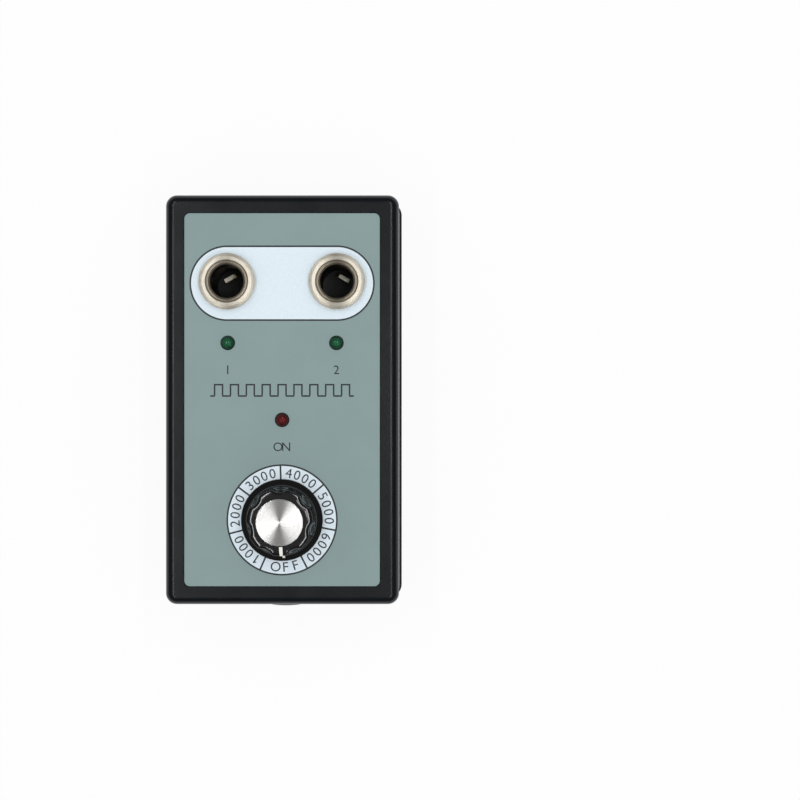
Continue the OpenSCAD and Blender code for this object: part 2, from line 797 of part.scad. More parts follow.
// Moulded knob: skirt, fluted grip, hollow underside, seats for the cap and the brass insert
module knob_body() {
    flute_axis = grip_d / 2 - flute_depth + flute_r;
    color([0.05, 0.05, 0.05]) at_knob() difference() {
        translate([0, 0, z_knob]) rotate_extrude() knob_section();
        for (i = [0:flute_count - 1]) rotate(-90 + (i + 0.5) * 360 / flute_count)
            translate([flute_axis, 0, z_knob + skirt_h]) flute();
        translate([0, 0, z_knob - cut]) cylinder(d = knob_hollow_d, h = knob_hollow_h + cut);
        translate([0, 0, z_insert - cut])
            cylinder(d = insert_d + 2 * insert_gap, h = insert_len + cut);
        translate([0, 0, z_knob + knob_h - cap_t])
            cylinder(d = cap_d + 2 * insert_gap, h = cap_t + cut);
        translate([0, 0, grub_z]) rotate([-90, 0, 0])
            cylinder(d = grub_d + 2 * insert_gap, h = skirt_d);
    }
}

// Spun metal cap in the knob's top
module knob_cap() {
    color([0.85, 0.85, 0.84]) at_knob() translate([0, 0, z_knob + knob_h - cap_t])
        cylinder(d = cap_d, h = cap_t);
}

// Brass insert that grips the shaft
module knob_insert() {
    color([0.8, 0.65, 0.3]) at_knob() difference() {
        translate([0, 0, z_insert]) tube(insert_d / 2, shaft_d / 2 + insert_gap, insert_len);
        translate([0, 0, grub_z]) rotate([-90, 0, 0])
            cylinder(d = grub_d + 2 * insert_gap, h = insert_d);
    }
}

// Slotted grub screw from the grip to the shaft
module knob_grub_screw() {
    slot_w = grub_d / 5;
    slot_h = grub_d / 3;
    color("silver") at_knob() translate([0, shaft_d / 2 + insert_gap, grub_z]) rotate([-90, 0, 0])
        difference() {
            cylinder(d = grub_d, h = grub_len);
            translate([-grub_d, -slot_w / 2, grub_len - slot_h]) cube([2 * grub_d, slot_w, slot_h + cut]);
        }
}

// Shaft of the speed control, from the rotor up into the knob
module control_shaft() {
    z_end = z_rotor - shaft_end;
    color("silver") at_knob() translate([0, 0, z_end])
        cylinder(d = shaft_d, h = z_insert + insert_len - insert_head - z_end);
}

// Threaded bush with the front plate of the control
module control_bush() {
    r_in = shaft_d / 2 + shaft_gap;
    z_end = z_label + bush_proud;
    color([0.78, 0.72, 0.55]) at_knob() rotate_extrude() polygon([
        [r_in, z_plate], [can_inner_r, z_plate], [can_inner_r, z_panel],
        [bush_d / 2, z_panel], [bush_d / 2, z_end], [r_in, z_end]]);
}

module control_washer() {
    color("silver") at_knob() translate([0, 0, z_label])
        tube(washer_d / 2, bush_d / 2 + thread_gap, washer_t);
}

// Hexagon of a given width across its flats
module hexagon_nut(af, hole_d, h) {
    difference() {
        cylinder(d = af / cos(30), h = h, $fn = 6);
        translate([0, 0, -cut]) cylinder(d = hole_d, h = h + 2 * cut);
    }
}

module control_nut() {
    color("silver") at_knob() translate([0, 0, z_label + washer_t])
        hexagon_nut(bush_nut_af, bush_d + 2 * thread_gap, bush_nut_h);
}

// Drawn can round the track and the rotor, open where the lugs come out
module control_can() {
    window_w = 2 * lug_pitch + 2 * lug_w;
    color([0.7, 0.71, 0.72]) at_knob() difference() {
        translate([0, 0, z_can]) cylinder(d = can_d, h = can_h + plate_t);
        translate([0, 0, z_can + can_wall])
            cylinder(d = can_d - 2 * can_wall, h = can_h + plate_t);
        translate([0, 0, z_can - cut]) cylinder(d = shaft_d + 2 * shaft_room, h = can_wall + 2 * cut);
        translate([-window_w / 2, 0, z_track - 2 * lug_t])
            cube([window_w, can_d, track_t + 2 * lug_t]);
    }
}

// Wafer that carries the resistance track
module control_track() {
    color([0.45, 0.28, 0.15]) at_knob() translate([0, 0, z_track])
        tube(can_inner_r, shaft_d / 2 + shaft_room, track_t);
}

// Rotor on the shaft's end
module control_rotor() {
    color([0.85, 0.83, 0.78]) at_knob() translate([0, 0, z_rotor])
        tube(rotor_d / 2, shaft_d / 2 + insert_gap, rotor_t);
}

// Sprung wiper on the rotor: an arc that faces the track
module control_wiper() {
    r_mid = (rotor_d + shaft_d) / 4;
    band = 1.6;
    sweep = 120;
    color([0.8, 0.65, 0.3]) at_knob() translate([0, 0, z_wiper])
        rotate(-90 - sweep / 2) rotate_extrude(angle = sweep)
            translate([r_mid - band / 2, 0]) square([band, wiper_t]);
}

// Three lugs under the edge of the track
module control_lugs() {
    color("silver") at_knob() for (i = [-1, 0, 1])
        translate([i * lug_pitch - lug_w / 2, lug_root, z_track - lug_t])
            cube([lug_w, lug_reach - lug_root, lug_t]);
}

// On-off switch behind the can
module control_switch() {
    color([0.1, 0.1, 0.1]) at_knob() translate([0, 0, z_switch])
        cylinder(d = switch_d, h = switch_h);
}

module switch_lugs() {
    color("silver") at_knob() for (x = [-0.5, 0.5])
        translate([x * switch_lug_pitch - lug_w / 2, -lug_t / 2, z_switch - switch_lug_h])
            cube([lug_w, lug_t, switch_lug_h]);
}

// Inlet: domed nose outside, threaded barrel through the wall, hole for a plug
module inlet_body() {
    r_face = jack_face_d / 2;
    r_rim = jack_flange_d / 2;
    dome = [for (a = [0:15:90])
        [r_face + (r_rim - r_face) * cos(a), -jack_rim - (jack_nose - jack_rim) * sin(a)]];
    color([0.09, 0.09, 0.09]) at_inlet() difference() {
        rotate_extrude() polygon(concat([[0, jack_barrel], [jack_thread_d / 2, jack_barrel],
            [jack_thread_d / 2, 0], [r_rim, 0]], dome, [[0, -jack_nose]]));
        translate([0, 0, -jack_nose - cut]) cylinder(d = jack_hole_d, h = jack_depth + cut);
        translate([0, 0, jack_floor - cut])
            cylinder(d = pin_tail_d + 2 * rivet_gap, h = jack_barrel - jack_floor + 2 * cut);
        translate([-jack_spring_w / 2 - rivet_gap, jack_spring_r - rivet_gap, jack_floor - cut])
            cube([jack_spring_w + 2 * rivet_gap, jack_spring_t + 2 * rivet_gap,
                jack_barrel - jack_floor + 2 * cut]);
    }
}

module inlet_nut() {
    y_wall = -inner.y / 2;
    color([0.1, 0.1, 0.1]) translate([0, y_wall, jack_z]) rotate([-90, 0, 0])
        hexagon_nut(jack_nut_af, jack_thread_d + 2 * thread_gap, jack_nut_h);
}

// Centre pin, round at its tip, seated on the hole's floor, with a tail to solder to
module inlet_pin() {
    r = pin_d / 2;
    z_tip = -jack_nose + pin_recess;
    color("silver") at_inlet() rotate_extrude() {
        translate([0, z_tip + r]) square([r, jack_floor - z_tip - r]);
        translate([0, z_tip + r]) mirror([0, 1]) quarter(r);
        translate([0, z_tip + r]) square([pin_tail_d / 2, jack_barrel + jack_tail - z_tip - r]);
    }
}

// Spring that touches the outside of the plug, along the lower side of the hole
module inlet_spring() {
    z_start = -jack_nose + pin_recess + pin_d / 2;
    color([0.82, 0.7, 0.45]) at_inlet()
        translate([-jack_spring_w / 2, jack_spring_r, z_start])
            cube([jack_spring_w, jack_spring_t, jack_barrel + jack_tail - z_start]);
}

// Board with holes for its screws and the lamps' legs
module circuit_board() {
    color([0.1, 0.35, 0.2]) difference() {
        translate([-board_w / 2, board_y0, z_board]) cube([board_w, board_l, board_t]);
        at_pillars() translate([0, 0, z_board - cut])
            cylinder(d = board_screw_d + 2 * screw_gap, h = board_t + 2 * cut);
        at_lamps() for (x = [-0.5, 0.5]) translate([x * led_leg_pitch, 0, z_board - cut])
            cylinder(d = led_leg_d + 2 * rivet_gap, h = board_t + 2 * cut);
    }
}

module board_screws() {
    color("silver") at_pillars() translate([0, 0, z_board])
        pan_screw(board_screw_d, board_screw_len, board_head_d, board_head_h);
}

// Potted coil that steps the voltage up for one socket
module spark_coil(side) {
    color([0.12, 0.12, 0.14]) translate([side * coil_x, coil_end_y - coil_l / 2, z_coil])
        linear_extrude(coil_h) rounded_rect([coil_w, coil_l], 1.5);
}

// Two power transistors that hang below the board on their legs
module drive_transistors() {
    leg = [transistor_leg_w, transistor_leg_t, transistor_leg_l];
    body = [transistor_w, transistor_t, transistor_h];
    tab = [transistor_w, transistor_tab_t, transistor_tab_l];
    color([0.15, 0.15, 0.16]) for (side = [-1, 1])
        translate([side * transistor_x, transistor_y, z_board - leg.z]) {
            for (i = [-1, 0, 1]) translate([i * leg_pitch - leg.x / 2, tab.y, -cut])
                cube(leg + [0, 0, cut]);
            translate([-body.x / 2, 0, -body.z]) cube(body);
            difference() {
                translate([-tab.x / 2, 0, -body.z - tab.z]) cube(tab + [0, 0, cut]);
                translate([0, -cut, -body.z - tab.z / 2]) rotate([-90, 0, 0])
                    cylinder(d = transistor_hole_d, h = tab.y + 2 * cut);
            }
        }
}

// Upright smoothing capacitor below the board
module filter_capacitor() {
    color([0.12, 0.16, 0.3]) translate([0, capacitor_y, z_board - capacitor_h])
        cylinder(d = capacitor_d, h = capacitor_h);
}

// Eight-legged timer chip on top of the board
module timer_chip() {
    body = [chip_l, chip_w, chip_h];
    leg = [chip_leg_w, chip_leg_t, chip_stand + chip_h / 2];
    color([0.1, 0.1, 0.1]) translate([0, chip_y, z_board_top]) {
        translate([-body.x / 2, -body.y / 2, chip_stand]) cube(body);
        for (i = [-1.5:1:1.5], y = [-1, 1])
            translate([i * leg_pitch - leg.x / 2, (y * body.y - leg.y) / 2, 0]) cube(leg);
    }
}

// Two film capacitors on top of the board
module film_capacitors() {
    color([0.6, 0.12, 0.1]) for (x = [-film_x, film_x])
        translate([x, led_y, z_board_top]) linear_extrude(film_h)
            rounded_rect([film_l, film_t], film_r);
}

// Axial resistors in a row on top of the board
module resistors() {
    axis_z = z_board_top + resistor_d / 2 + rivet_gap;
    leg_y = (resistor_span - resistor_wire_d) / 2;
    color([0.75, 0.6, 0.42]) for (x = resistor_x)
        translate([x, resistor_y, axis_z]) {
            rotate([90, 0, 0]) cylinder(d = resistor_d, h = resistor_l, center = true);
            rotate([90, 0, 0]) cylinder(d = resistor_wire_d, h = resistor_span, center = true);
            for (y = [-leg_y, leg_y]) translate([0, y, z_board_top - axis_z])
                cylinder(d = resistor_wire_d, h = axis_z - z_board_top);
        }
}

// Smooth route through hand-placed points
function route_at(p, i, t) =
    let (a = p[max(i - 1, 0)], b = p[i], c = p[i + 1], d = p[min(i + 2, len(p) - 1)])
    0.5 * (2 * b + (c - a) * t + (2 * a - 5 * b + 4 * c - d) * t * t
        + (3 * b - a - 3 * c + d) * t * t * t);
function route(p, steps) =
    concat([for (i = [0:len(p) - 2], k = [0:steps - 1]) route_at(p, i, k / steps)],
        [p[len(p) - 1]]);
// Direction of a route at one of its points; its two ends are square to the way they leave
function direction(path, i, first, last) =
    let (d = i == 0 ? first : i == len(path) - 1 ? last : path[i + 1] - path[i - 1])
    d / norm(d);

// Insulated lead swept along a route that never runs along X
module lead(points, d) {
    sides = 8;
    path = route(points, 3);
    rings = len(path);
    first = points[1] - points[0];
    last_way = points[len(points) - 1] - points[len(points) - 2];
    corners = [for (i = [0:rings - 1])
        let (t = direction(path, i, first, last_way), s = cross(t, [1, 0, 0]),
            u = s / norm(s), v = cross(t, u))
        for (k = [0:sides - 1])
            path[i] + d / 2 * (u * cos(k * 360 / sides) + v * sin(k * 360 / sides))];
    walls = [for (i = [0:rings - 2], k = [0:sides - 1])
        let (a = i * sides + k, b = i * sides + (k + 1) % sides)
        each [[a, a + sides, b], [b, a + sides, b + sides]]];
    last = (rings - 1) * sides;
    ends = concat([for (k = [1:sides - 2]) [0, k, k + 1]],
        [for (k = [1:sides - 2]) [last, last + k + 1, last + k]]);
    polyhedron(corners, concat(walls, ends));
}

// Thick lead from a coil's end to the top of its contact's tail
module spark_lead(side) {
    x = side * (socket_x + contact_side);
    start = [x, coil_end_y + lead_gap, z_coil + coil_exit_h];
    end = [x, socket_y - insulator_r - lead_gap, z_insulator + lead_gap + spark_lead_d / 2];
    run = (end.y - start.y) / 4;
    color([0.75, 0.1, 0.08]) lead([start, start + [0, run, 0], end - [0, run, 0], end], spark_lead_d);
}

// Straight leads from the earth tags down to the board
module earth_leads() {
    y = socket_y - tag_reach + lead_d;
    color([0.08, 0.08, 0.08]) for (side = [-1, 1])
        lead([[side * socket_x, y, z_shoulder - lead_gap],
            [side * socket_x, y, z_board_top + lead_gap]], lead_d);
}

// Leads from the control's lugs down to the board
module control_leads() {
    color([0.85, 0.7, 0.15]) for (i = [-1, 0, 1]) {
        start = [i * lug_pitch, knob_y + lug_reach - lead_d, z_track - lug_t - lead_gap];
        end = [i * lug_pitch, board_y0 + lead_d, z_board_top + lead_gap];
        drop = (start.z - end.z) / 3;
        lead([start, start - [0, 0, drop], end + [0, 0, drop], end], lead_d);
    }
}

// Leads from the inlet to the switch and the board, and from the switch to the board
module power_leads() {
    tail_y = jack_seat_y + jack_barrel + jack_tail + lead_gap;
    spring_z = jack_z - jack_spring_r - jack_spring_t / 2;
    lug_x = switch_lug_pitch / 2;
    lug_end = z_switch - switch_lug_h - lead_gap;
    board_end = [board_y0 + 2 * lead_d, z_board - lead_gap];
    run = [0, 3, 0];
    drop = [0, 0, -3];
    pin_end = [0, tail_y, jack_z];
    spring_end = [0, tail_y, spring_z];
    lug_in = [-lug_x, knob_y, lug_end];
    lug_out = [lug_x, knob_y, lug_end];
    board_in = [lug_x, board_end[0], board_end[1]];
    board_out = [-2 * lug_x, board_end[0], board_end[1]];
    color([0.7, 0.1, 0.1]) {
        lead([pin_end, pin_end + run, lug_in + drop, lug_in], lead_d);
        lead([lug_out, lug_out + drop, board_in + drop, board_in], lead_d);
        lead([spring_end, spring_end + run, [board_out.x, knob_y, spring_z] + drop,
            board_out + drop, board_out], lead_d);
    }
}

front_cover();
case_body();
back_cover();
case_screws();
panel_label();
socket_nut(-1);  // socket_nut_left
socket_nut(1);  // socket_nut_right
socket_sleeve(-1);  // socket_sleeve_left
socket_sleeve(1);  // socket_sleeve_right
socket_insulator(-1);  // socket_insulator_left
socket_insulator(1);  // socket_insulator_right
socket_earth_tags();
contact_base(-1);  // contact_base_left
contact_base(1);  // contact_base_right
contact_arm(-1);  // contact_arm_left
contact_arm(1);  // contact_arm_right
lamp(led_places[0], [0.05, 0.25, 0.1]);  // signal_lamp_left
lamp(led_places[1], [0.05, 0.25, 0.1]);  // signal_lamp_right
lamp(led_places[2], [0.4, 0.05, 0.05]);  // power_lamp
lamp_legs();
knob_body();
knob_cap();
knob_insert();
knob_grub_screw();
control_shaft();
control_bush();
control_washer();
control_nut();
control_can();
control_track();
control_rotor();
control_wiper();
control_lugs();
control_switch();
switch_lugs();
inlet_body();
inlet_nut();
inlet_pin();
inlet_spring();
circuit_board();
board_screws();
spark_coil(-1);  // spark_coil_left
spark_coil(1);  // spark_coil_right
drive_transistors();
filter_capacitor();
timer_chip();
film_capacitors();
resistors();
spark_lead(-1);  // spark_lead_left
spark_lead(1);  // spark_lead_right
earth_leads();
control_leads();
power_leads();
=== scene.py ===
"""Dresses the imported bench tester: moulded case, printed panel, plug sockets, lamps and speed knob."""

import math

import bmesh
import bpy
from bpy.props import FloatProperty, FloatVectorProperty, IntProperty, PointerProperty
from mathutils import Matrix, Vector


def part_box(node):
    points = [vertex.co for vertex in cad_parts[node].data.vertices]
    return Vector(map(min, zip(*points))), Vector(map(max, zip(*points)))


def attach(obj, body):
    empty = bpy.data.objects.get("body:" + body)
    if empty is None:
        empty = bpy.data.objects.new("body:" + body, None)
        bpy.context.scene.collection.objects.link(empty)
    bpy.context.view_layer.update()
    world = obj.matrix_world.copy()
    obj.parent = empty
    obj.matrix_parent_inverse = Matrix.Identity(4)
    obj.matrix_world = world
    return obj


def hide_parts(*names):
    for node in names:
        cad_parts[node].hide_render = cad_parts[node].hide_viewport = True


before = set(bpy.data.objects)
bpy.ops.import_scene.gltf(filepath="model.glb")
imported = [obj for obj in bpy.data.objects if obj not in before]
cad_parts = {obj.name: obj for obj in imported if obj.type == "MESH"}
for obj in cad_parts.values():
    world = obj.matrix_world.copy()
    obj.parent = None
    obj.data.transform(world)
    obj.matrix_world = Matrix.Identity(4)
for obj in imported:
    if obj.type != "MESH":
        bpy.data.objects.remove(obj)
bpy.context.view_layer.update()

bl_info = {
    "name": "Bench tester",
    "version": (1, 0, 0),
    "blender": (4, 5, 0),
    "location": "View3D > Sidebar > Tester",
    "description": "Models and finishes a bench tester with two sockets, three lamps and a speed knob",
    "category": "Object",
}

MM = 0.001
SIDES = {"left": -1, "right": 1}
DIAL_FIELDS = ("OFF", "1000", "2000", "3000", "4000", "5000", "6000")

# Marks on the panel, as shares of their own height, and the trace's place between the lamps
MARK_DROP = 3.1
MARK_PITCH = 0.95
FLAG_WIDTH = 0.12
FLAG_LEAN = math.radians(40)
TRACE_DROP = 3.2 * MM

# Small sizes of sockets, lamps and knob
FIELD_TUCK = 1 * MM
CUP_GAP = 0.05 * MM
CUP_WALL = 1.4 * MM
# Depth below the bore's mouth over which the painted shade darkens to black
BORE_SHADE_DEPTH = 1.2 * MM
GROOVE_SHARE = 0.2
POST_STEP = 0.4 * MM
WALL_STEP = 0.24 * MM
FLUTE_STEPS = 52
DRILL_START = 3 * MM
POINTER_LIFT = 0.02 * MM
POINTER_THICKNESS = 0.06 * MM

# Stage, in metres, and the bands of height where the sky's level changes
FLOOR_SIZE = 6.0
FLOOR_DROP = 0.05 * MM
LIGHT_DISTANCE = 1.3
SIDE_LIGHT_SIZE = (0.07, 1.5)
TOP_LIGHT_SIZE = (0.13, 0.13)
SENSOR_WIDTH = 36.0
HORIZON_BAND = (0.0, 0.16)
ZENITH_BAND = (0.8, 0.97)


# Property helpers

def srgb(red, green, blue):
    """Linear colour of a screen colour whose levels run from 0 to 255."""
    levels = [level / 255 for level in (red, green, blue)]
    return tuple(v / 12.92 if v <= 0.04045 else ((v + 0.055) / 1.055) ** 2.4 for v in levels)


def colour(name, description, default):
    return FloatVectorProperty(name=name, description=description, default=default, size=3,
                               min=0.0, max=1.0, subtype="COLOR")


def length(name, description, millimetres):
    return FloatProperty(name=name, description=description, default=millimetres * MM,
                         min=0.0, unit="LENGTH", subtype="DISTANCE", precision=5)


def angle(name, description, degrees):
    return FloatProperty(name=name, description=description, default=math.radians(degrees),
                         subtype="ANGLE", unit="ROTATION")


def level(name, description, default, high=1.0):
    return FloatProperty(name=name, description=description, default=default, min=0.0, max=high,
                         subtype="FACTOR")


class CaseSettings(bpy.types.PropertyGroup):
    """Sizes and colours of the moulded case"""
    cover_colour: colour("Cover", "Satin black of the two covers", srgb(14, 19, 23))
    wall_colour: colour("Wall", "Matt black of the wall between the covers", srgb(24, 28, 30))
    edge: length("Eased edge", "Width of the rounding on moulded edges", 0.22)
    grain: length("Grain", "Size of the moulded surface grain", 0.22)


class PanelSettings(bpy.types.PropertyGroup):
    """Sizes and colours of the printed panel"""
    film_colour: colour("Film", "Grey-green of the panel film", srgb(133, 155, 155))
    white_colour: colour("White print", "Cool white of the printed fields", srgb(227, 241, 250))
    ink_colour: colour("Ink", "Blue-black of the printed lines", srgb(22, 33, 38))
    ink_thickness: length("Ink thickness", "How far the print stands on the film", 0.025)
    field_radius: length("Field end radius", "Radius of the white field's round ends", 12.87)
    field_line: length("Field outline", "Width of the dark line round the white field", 0.6)
    field_drop: length("Field drop", "How far the field's middle lies below the sockets", 0.6)
    dial_radius: length("Dial radius", "Outer radius of the dial's dark outline", 19.85)
    dial_inner: length("Dial inner radius", "Inner radius of the white ring, below the knob", 12.6)
    dial_line: length("Dial outline", "Width of the dial's dark outline", 0.6)
    divider: length("Divider", "Width of the lines between the dial's fields", 0.62)
    dial_turn: angle("Dial turn", "Turn of the printed dial against the knob's ridges", 1.8)
    numeral_height: length("Numeral height", "Height of the dial's numbers", 3.4)
    numeral_radius: length("Numeral radius", "Radius of the circle that the numbers stand on", 16.85)
    numeral_step: angle("Numeral step", "Angle between the digits of a number", 10.5)
    numeral_flag: length("Numeral flag", "Length of the stroke at the top of a one", 0.95)
    letter_step: angle("Letter step", "Angle between the letters of the off mark", 12.2)
    letter_turn: angle("Letter turn", "Turn of the off mark against its field", 2.6)
    mark_height: length("Mark height", "Height of the marks below the lamps", 3.1)
    trace_length: length("Trace length", "Length of the printed pulse trace", 51.0)
    trace_height: length("Trace height", "Height of the printed pulses", 4.6)
    trace_line: length("Trace line", "Line width of the printed pulses", 0.55)
    trace_pulses: IntProperty(name="Pulses", description="Pulses in the printed trace",
                              default=9, min=1)


class SocketSettings(bpy.types.PropertyGroup):
    """Sizes and colours of the plug sockets"""
    nickel_colour: colour("Nickel", "Warm nickel of the socket nuts and sleeves", srgb(244, 237, 221))
    # The sleeve colour is darker than the nuts' as painted shade, where the sleeves sit below the nuts'
    # rims
    sleeve_shaded_colour: colour("Sleeve", "Dull nickel of the sleeves", srgb(152, 143, 128))
    brass_colour: colour("Brass", "Pale brass of the metal strips", srgb(224, 196, 142))
    strip_colour: colour("Strip", "Tinned brass of the contact strips", srgb(246, 240, 224))
    strip_turn: angle("Strip turn", "Slant of the contact strips across their sockets", 30)
    strip_level: angle("Strip level", "Tilt that lays the contact strips level", 3)
    strip_lean: angle("Strip lean", "Twist of the contact strips towards the right side", 5.6)
    tube_colour: colour("Tube", "Black of the insulating tubes", srgb(22, 21, 20))
    nut_bevel: length("Nut bevel", "Width of the slope on the nut's rim", 1.1)
    nut_slope: length("Nut slope", "Height of the slope on the nut's rim", 0.5)
    ring_chamfer: length("Ring chamfer", "Chamfers where the nut and the sleeve meet", 0.2)
    bore_radius: length("Bore radius", "Radius of the sleeve's bore", 6.0)
    neck_radius: length("Neck radius", "Radius of the sleeve's threaded neck", 7.5)
    thread_gap: length("Thread gap", "Gap between the neck and its nut", 0.06)
    mouth_chamfer: length("Mouth chamfer", "Chamfer at the bore's mouth", 0.6)
    thread_pitch: length("Thread pitch", "Pitch of the lines in the bore", 0.75)
    thread_depth: length("Thread depth", "Depth of the lines in the bore", 0.22)


class LampSettings(bpy.types.PropertyGroup):
    """Sizes and colours of the lamps"""
    green_colour: colour("Green", "Tint of the signal lamps' lenses", srgb(48, 128, 86))
    red_colour: colour("Red", "Tint of the power lamp's lens", srgb(132, 46, 48))
    body_radius: length("Body radius", "Radius of the lens", 2.5)
    foot_height: length("Foot height", "Height of the lens's wider foot", 1.0)
    post_gap: length("Post gap", "Gap between the two posts in the lens", 0.6)
    post_width: length("Post width", "Width of each post in the lens", 0.42)
    post_depth: length("Post depth", "Depth of each post in the lens", 1.1)
    post_offset: length("Post offset", "How far the posts stand below the lens's middle", 0.25)
    post_drop: length("Post drop", "Depth of the posts' tops below the lens's top", 1.9)


class KnobSettings(bpy.types.PropertyGroup):
    """Sizes and colours of the speed knob"""
    body_colour: colour("Body", "Glossy black of the knob", srgb(13, 14, 13))
    line_colour: colour("Line", "White of the pointer line", srgb(240, 240, 234))
    cap_colour: colour("Cap", "Spun aluminium of the cap", srgb(246, 245, 243))
    skirt_radius: length("Skirt radius", "Outer radius of the skirt", 14.6)
    skirt_rim: length("Skirt rim", "Height of the skirt's upright rim", 0.8)
    skirt_height: length("Skirt height", "Height at which the skirt meets the grip", 3.4)
    grip_radius: length("Grip radius", "Radius of the grip above the skirt", 12.1)
    grip_taper: length("Grip taper", "How much the grip narrows towards the top", 0.4)
    crown_width: length("Crown width", "Width of the grip's crowned top edge", 2.5)
    crown_drop: length("Crown drop", "Height of the grip's crowned top edge", 0.8)
    flare: length("Flare", "Hollow rounding between the grip and the skirt", 1.6)
    flare_height: length("Flare height", "Height at which the skirt's slope would meet the grip", 2.0)
    cap_wall: length("Cap seat", "Radius of the cap's seat", 8.3)
    cap_depth: length("Cap depth", "Depth of the cap's seat", 0.6)
    top_inset: length("Top inset", "How far the grip's top lies below the cap's face", 0.03)
    hollow_radius: length("Hollow radius", "Radius of the hollow underside", 9.75)
    hollow_height: length("Hollow height", "Height of the hollow underside", 5.2)
    insert_radius: length("Insert radius", "Radius of the hole for the brass insert", 5.05)
    insert_length: length("Insert length", "Length of the hole for the brass insert", 8.4)
    grub_radius: length("Grub radius", "Radius of the grub screw's hole", 1.55)
    flute_count: IntProperty(name="Flutes", description="Flutes round the grip", default=7, min=3)
    flute_radius: length("Flute radius", "Radius of each flute", 4.6)
    flute_depth: length("Flute depth", "Depth of each flute", 1.5)
    flute_softness: length("Flute softness", "Rounding where the flutes meet the ridges", 0.6)
    pointer_top: length("Pointer width", "Width of the pointer line at the cap", 1.2)
    pointer_end: length("Pointer end width", "Width of the pointer line on the skirt", 0.9)
    pointer_turn: angle("Pointer turn", "Turn of the pointer line on its ridge", 3.2)
    pointer_reach: length("Pointer reach", "Radius at which the pointer line ends", 13.5)


class InletSettings(bpy.types.PropertyGroup):
    """Sizes and colours of the power inlet"""
    body_colour: colour("Body", "Black of the inlet's nose", srgb(24, 25, 26))
    face_radius: length("Face radius", "Radius of the nose's flat face", 4.3)
    hole_radius: length("Hole radius", "Radius of the plug's hole", 3.2)
    hole_depth: length("Hole depth", "Depth of the plug's hole", 11.0)
    rim: length("Rim", "Height of the nose's upright rim", 1.2)
    nose: length("Nose", "How far the nose stands out of the case", 2.4)
    barrel_radius: length("Barrel radius", "Radius of the threaded barrel", 5.5)
    barrel_length: length("Barrel length", "Length of the barrel inside the case", 13.0)
    tail_radius: length("Tail radius", "Radius of the hole for the pin's tail", 0.85)


class InnerSettings(bpy.types.PropertyGroup):
    """Colours of the pieces inside the case"""
    steel_colour: colour("Steel", "Zinc-plated steel of screws and lugs", srgb(196, 199, 200))
    aluminium_colour: colour("Aluminium", "Aluminium of the cans", srgb(202, 204, 206))
    board_colour: colour("Board", "Green of the circuit board", srgb(28, 92, 58))
    wafer_colour: colour("Wafer", "Brown of the resistance wafer", srgb(118, 80, 48))
    potting_colour: colour("Potting", "Black of the potted components", srgb(34, 34, 38))
    cream_colour: colour("Cream", "Cream of small moulded pieces", srgb(214, 205, 186))
    red_lead: colour("Red lead", "Cover of the spark and power leads", srgb(168, 34, 28))
    black_lead: colour("Black lead", "Cover of the earth leads", srgb(30, 30, 30))
    yellow_lead: colour("Yellow lead", "Cover of the control leads", srgb(206, 172, 52))


class StageSettings(bpy.types.PropertyGroup):
    """Floor, lights and camera"""
    floor_colour: colour("Floor", "Plain pale floor", (0.93, 0.93, 0.93))
    floor_glow: level("Floor glow", "Share of plain white in the floor as it is seen", 0.92)
    key_power: FloatProperty(name="Side lights", description="Power of each side light",
                             default=4.0, min=0.0, unit="POWER")
    top_power: FloatProperty(name="Top light",
                             description="Power of the small light above the sockets",
                             default=0.3, min=0.0, unit="POWER")
    top_angle: angle("Top light angle", "Angle of the small light from straight above", 8)
    key_angle: angle("Side light angle", "Angle of the side lights from straight above", 17)
    sky: level("Sky", "Level of the soft light from all round", 0.55, 2.0)
    zenith: level("Zenith", "Level of the sky straight above, as gloss shows it", 0.24, 2.0)
    flank: level("Flank", "Level of the sky half way up, as gloss shows it", 0.1, 2.0)
    camera_place: FloatVectorProperty(name="Camera", description="Place of the camera",
                                      default=(0.0421, -0.0001, 0.7407), size=3,
                                      unit="LENGTH", subtype="XYZ")
    lens: FloatProperty(name="Lens", description="Focal length of the camera in millimetres",
                        default=88.24, min=1.0)


SETTINGS = {
    "tester_case": CaseSettings,
    "tester_panel": PanelSettings,
    "tester_socket": SocketSettings,
    "tester_lamp": LampSettings,
    "tester_knob": KnobSettings,
    "tester_inlet": InletSettings,
    "tester_inner": InnerSettings,
    "tester_stage": StageSettings,
}


# Places read from the frame

def low(node):
    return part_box(node)[0]


def high(node):
    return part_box(node)[1]


def middle(node):
    return (low(node) + high(node)) / 2


def half_width(node):
    return (high(node).x - low(node).x) / 2


def on_axis(node, height=0.0):
    """Place on the upright axis through a node's middle."""
    spot = middle(node)
    return Matrix.Translation((spot.x, spot.y, height))


# Finishes

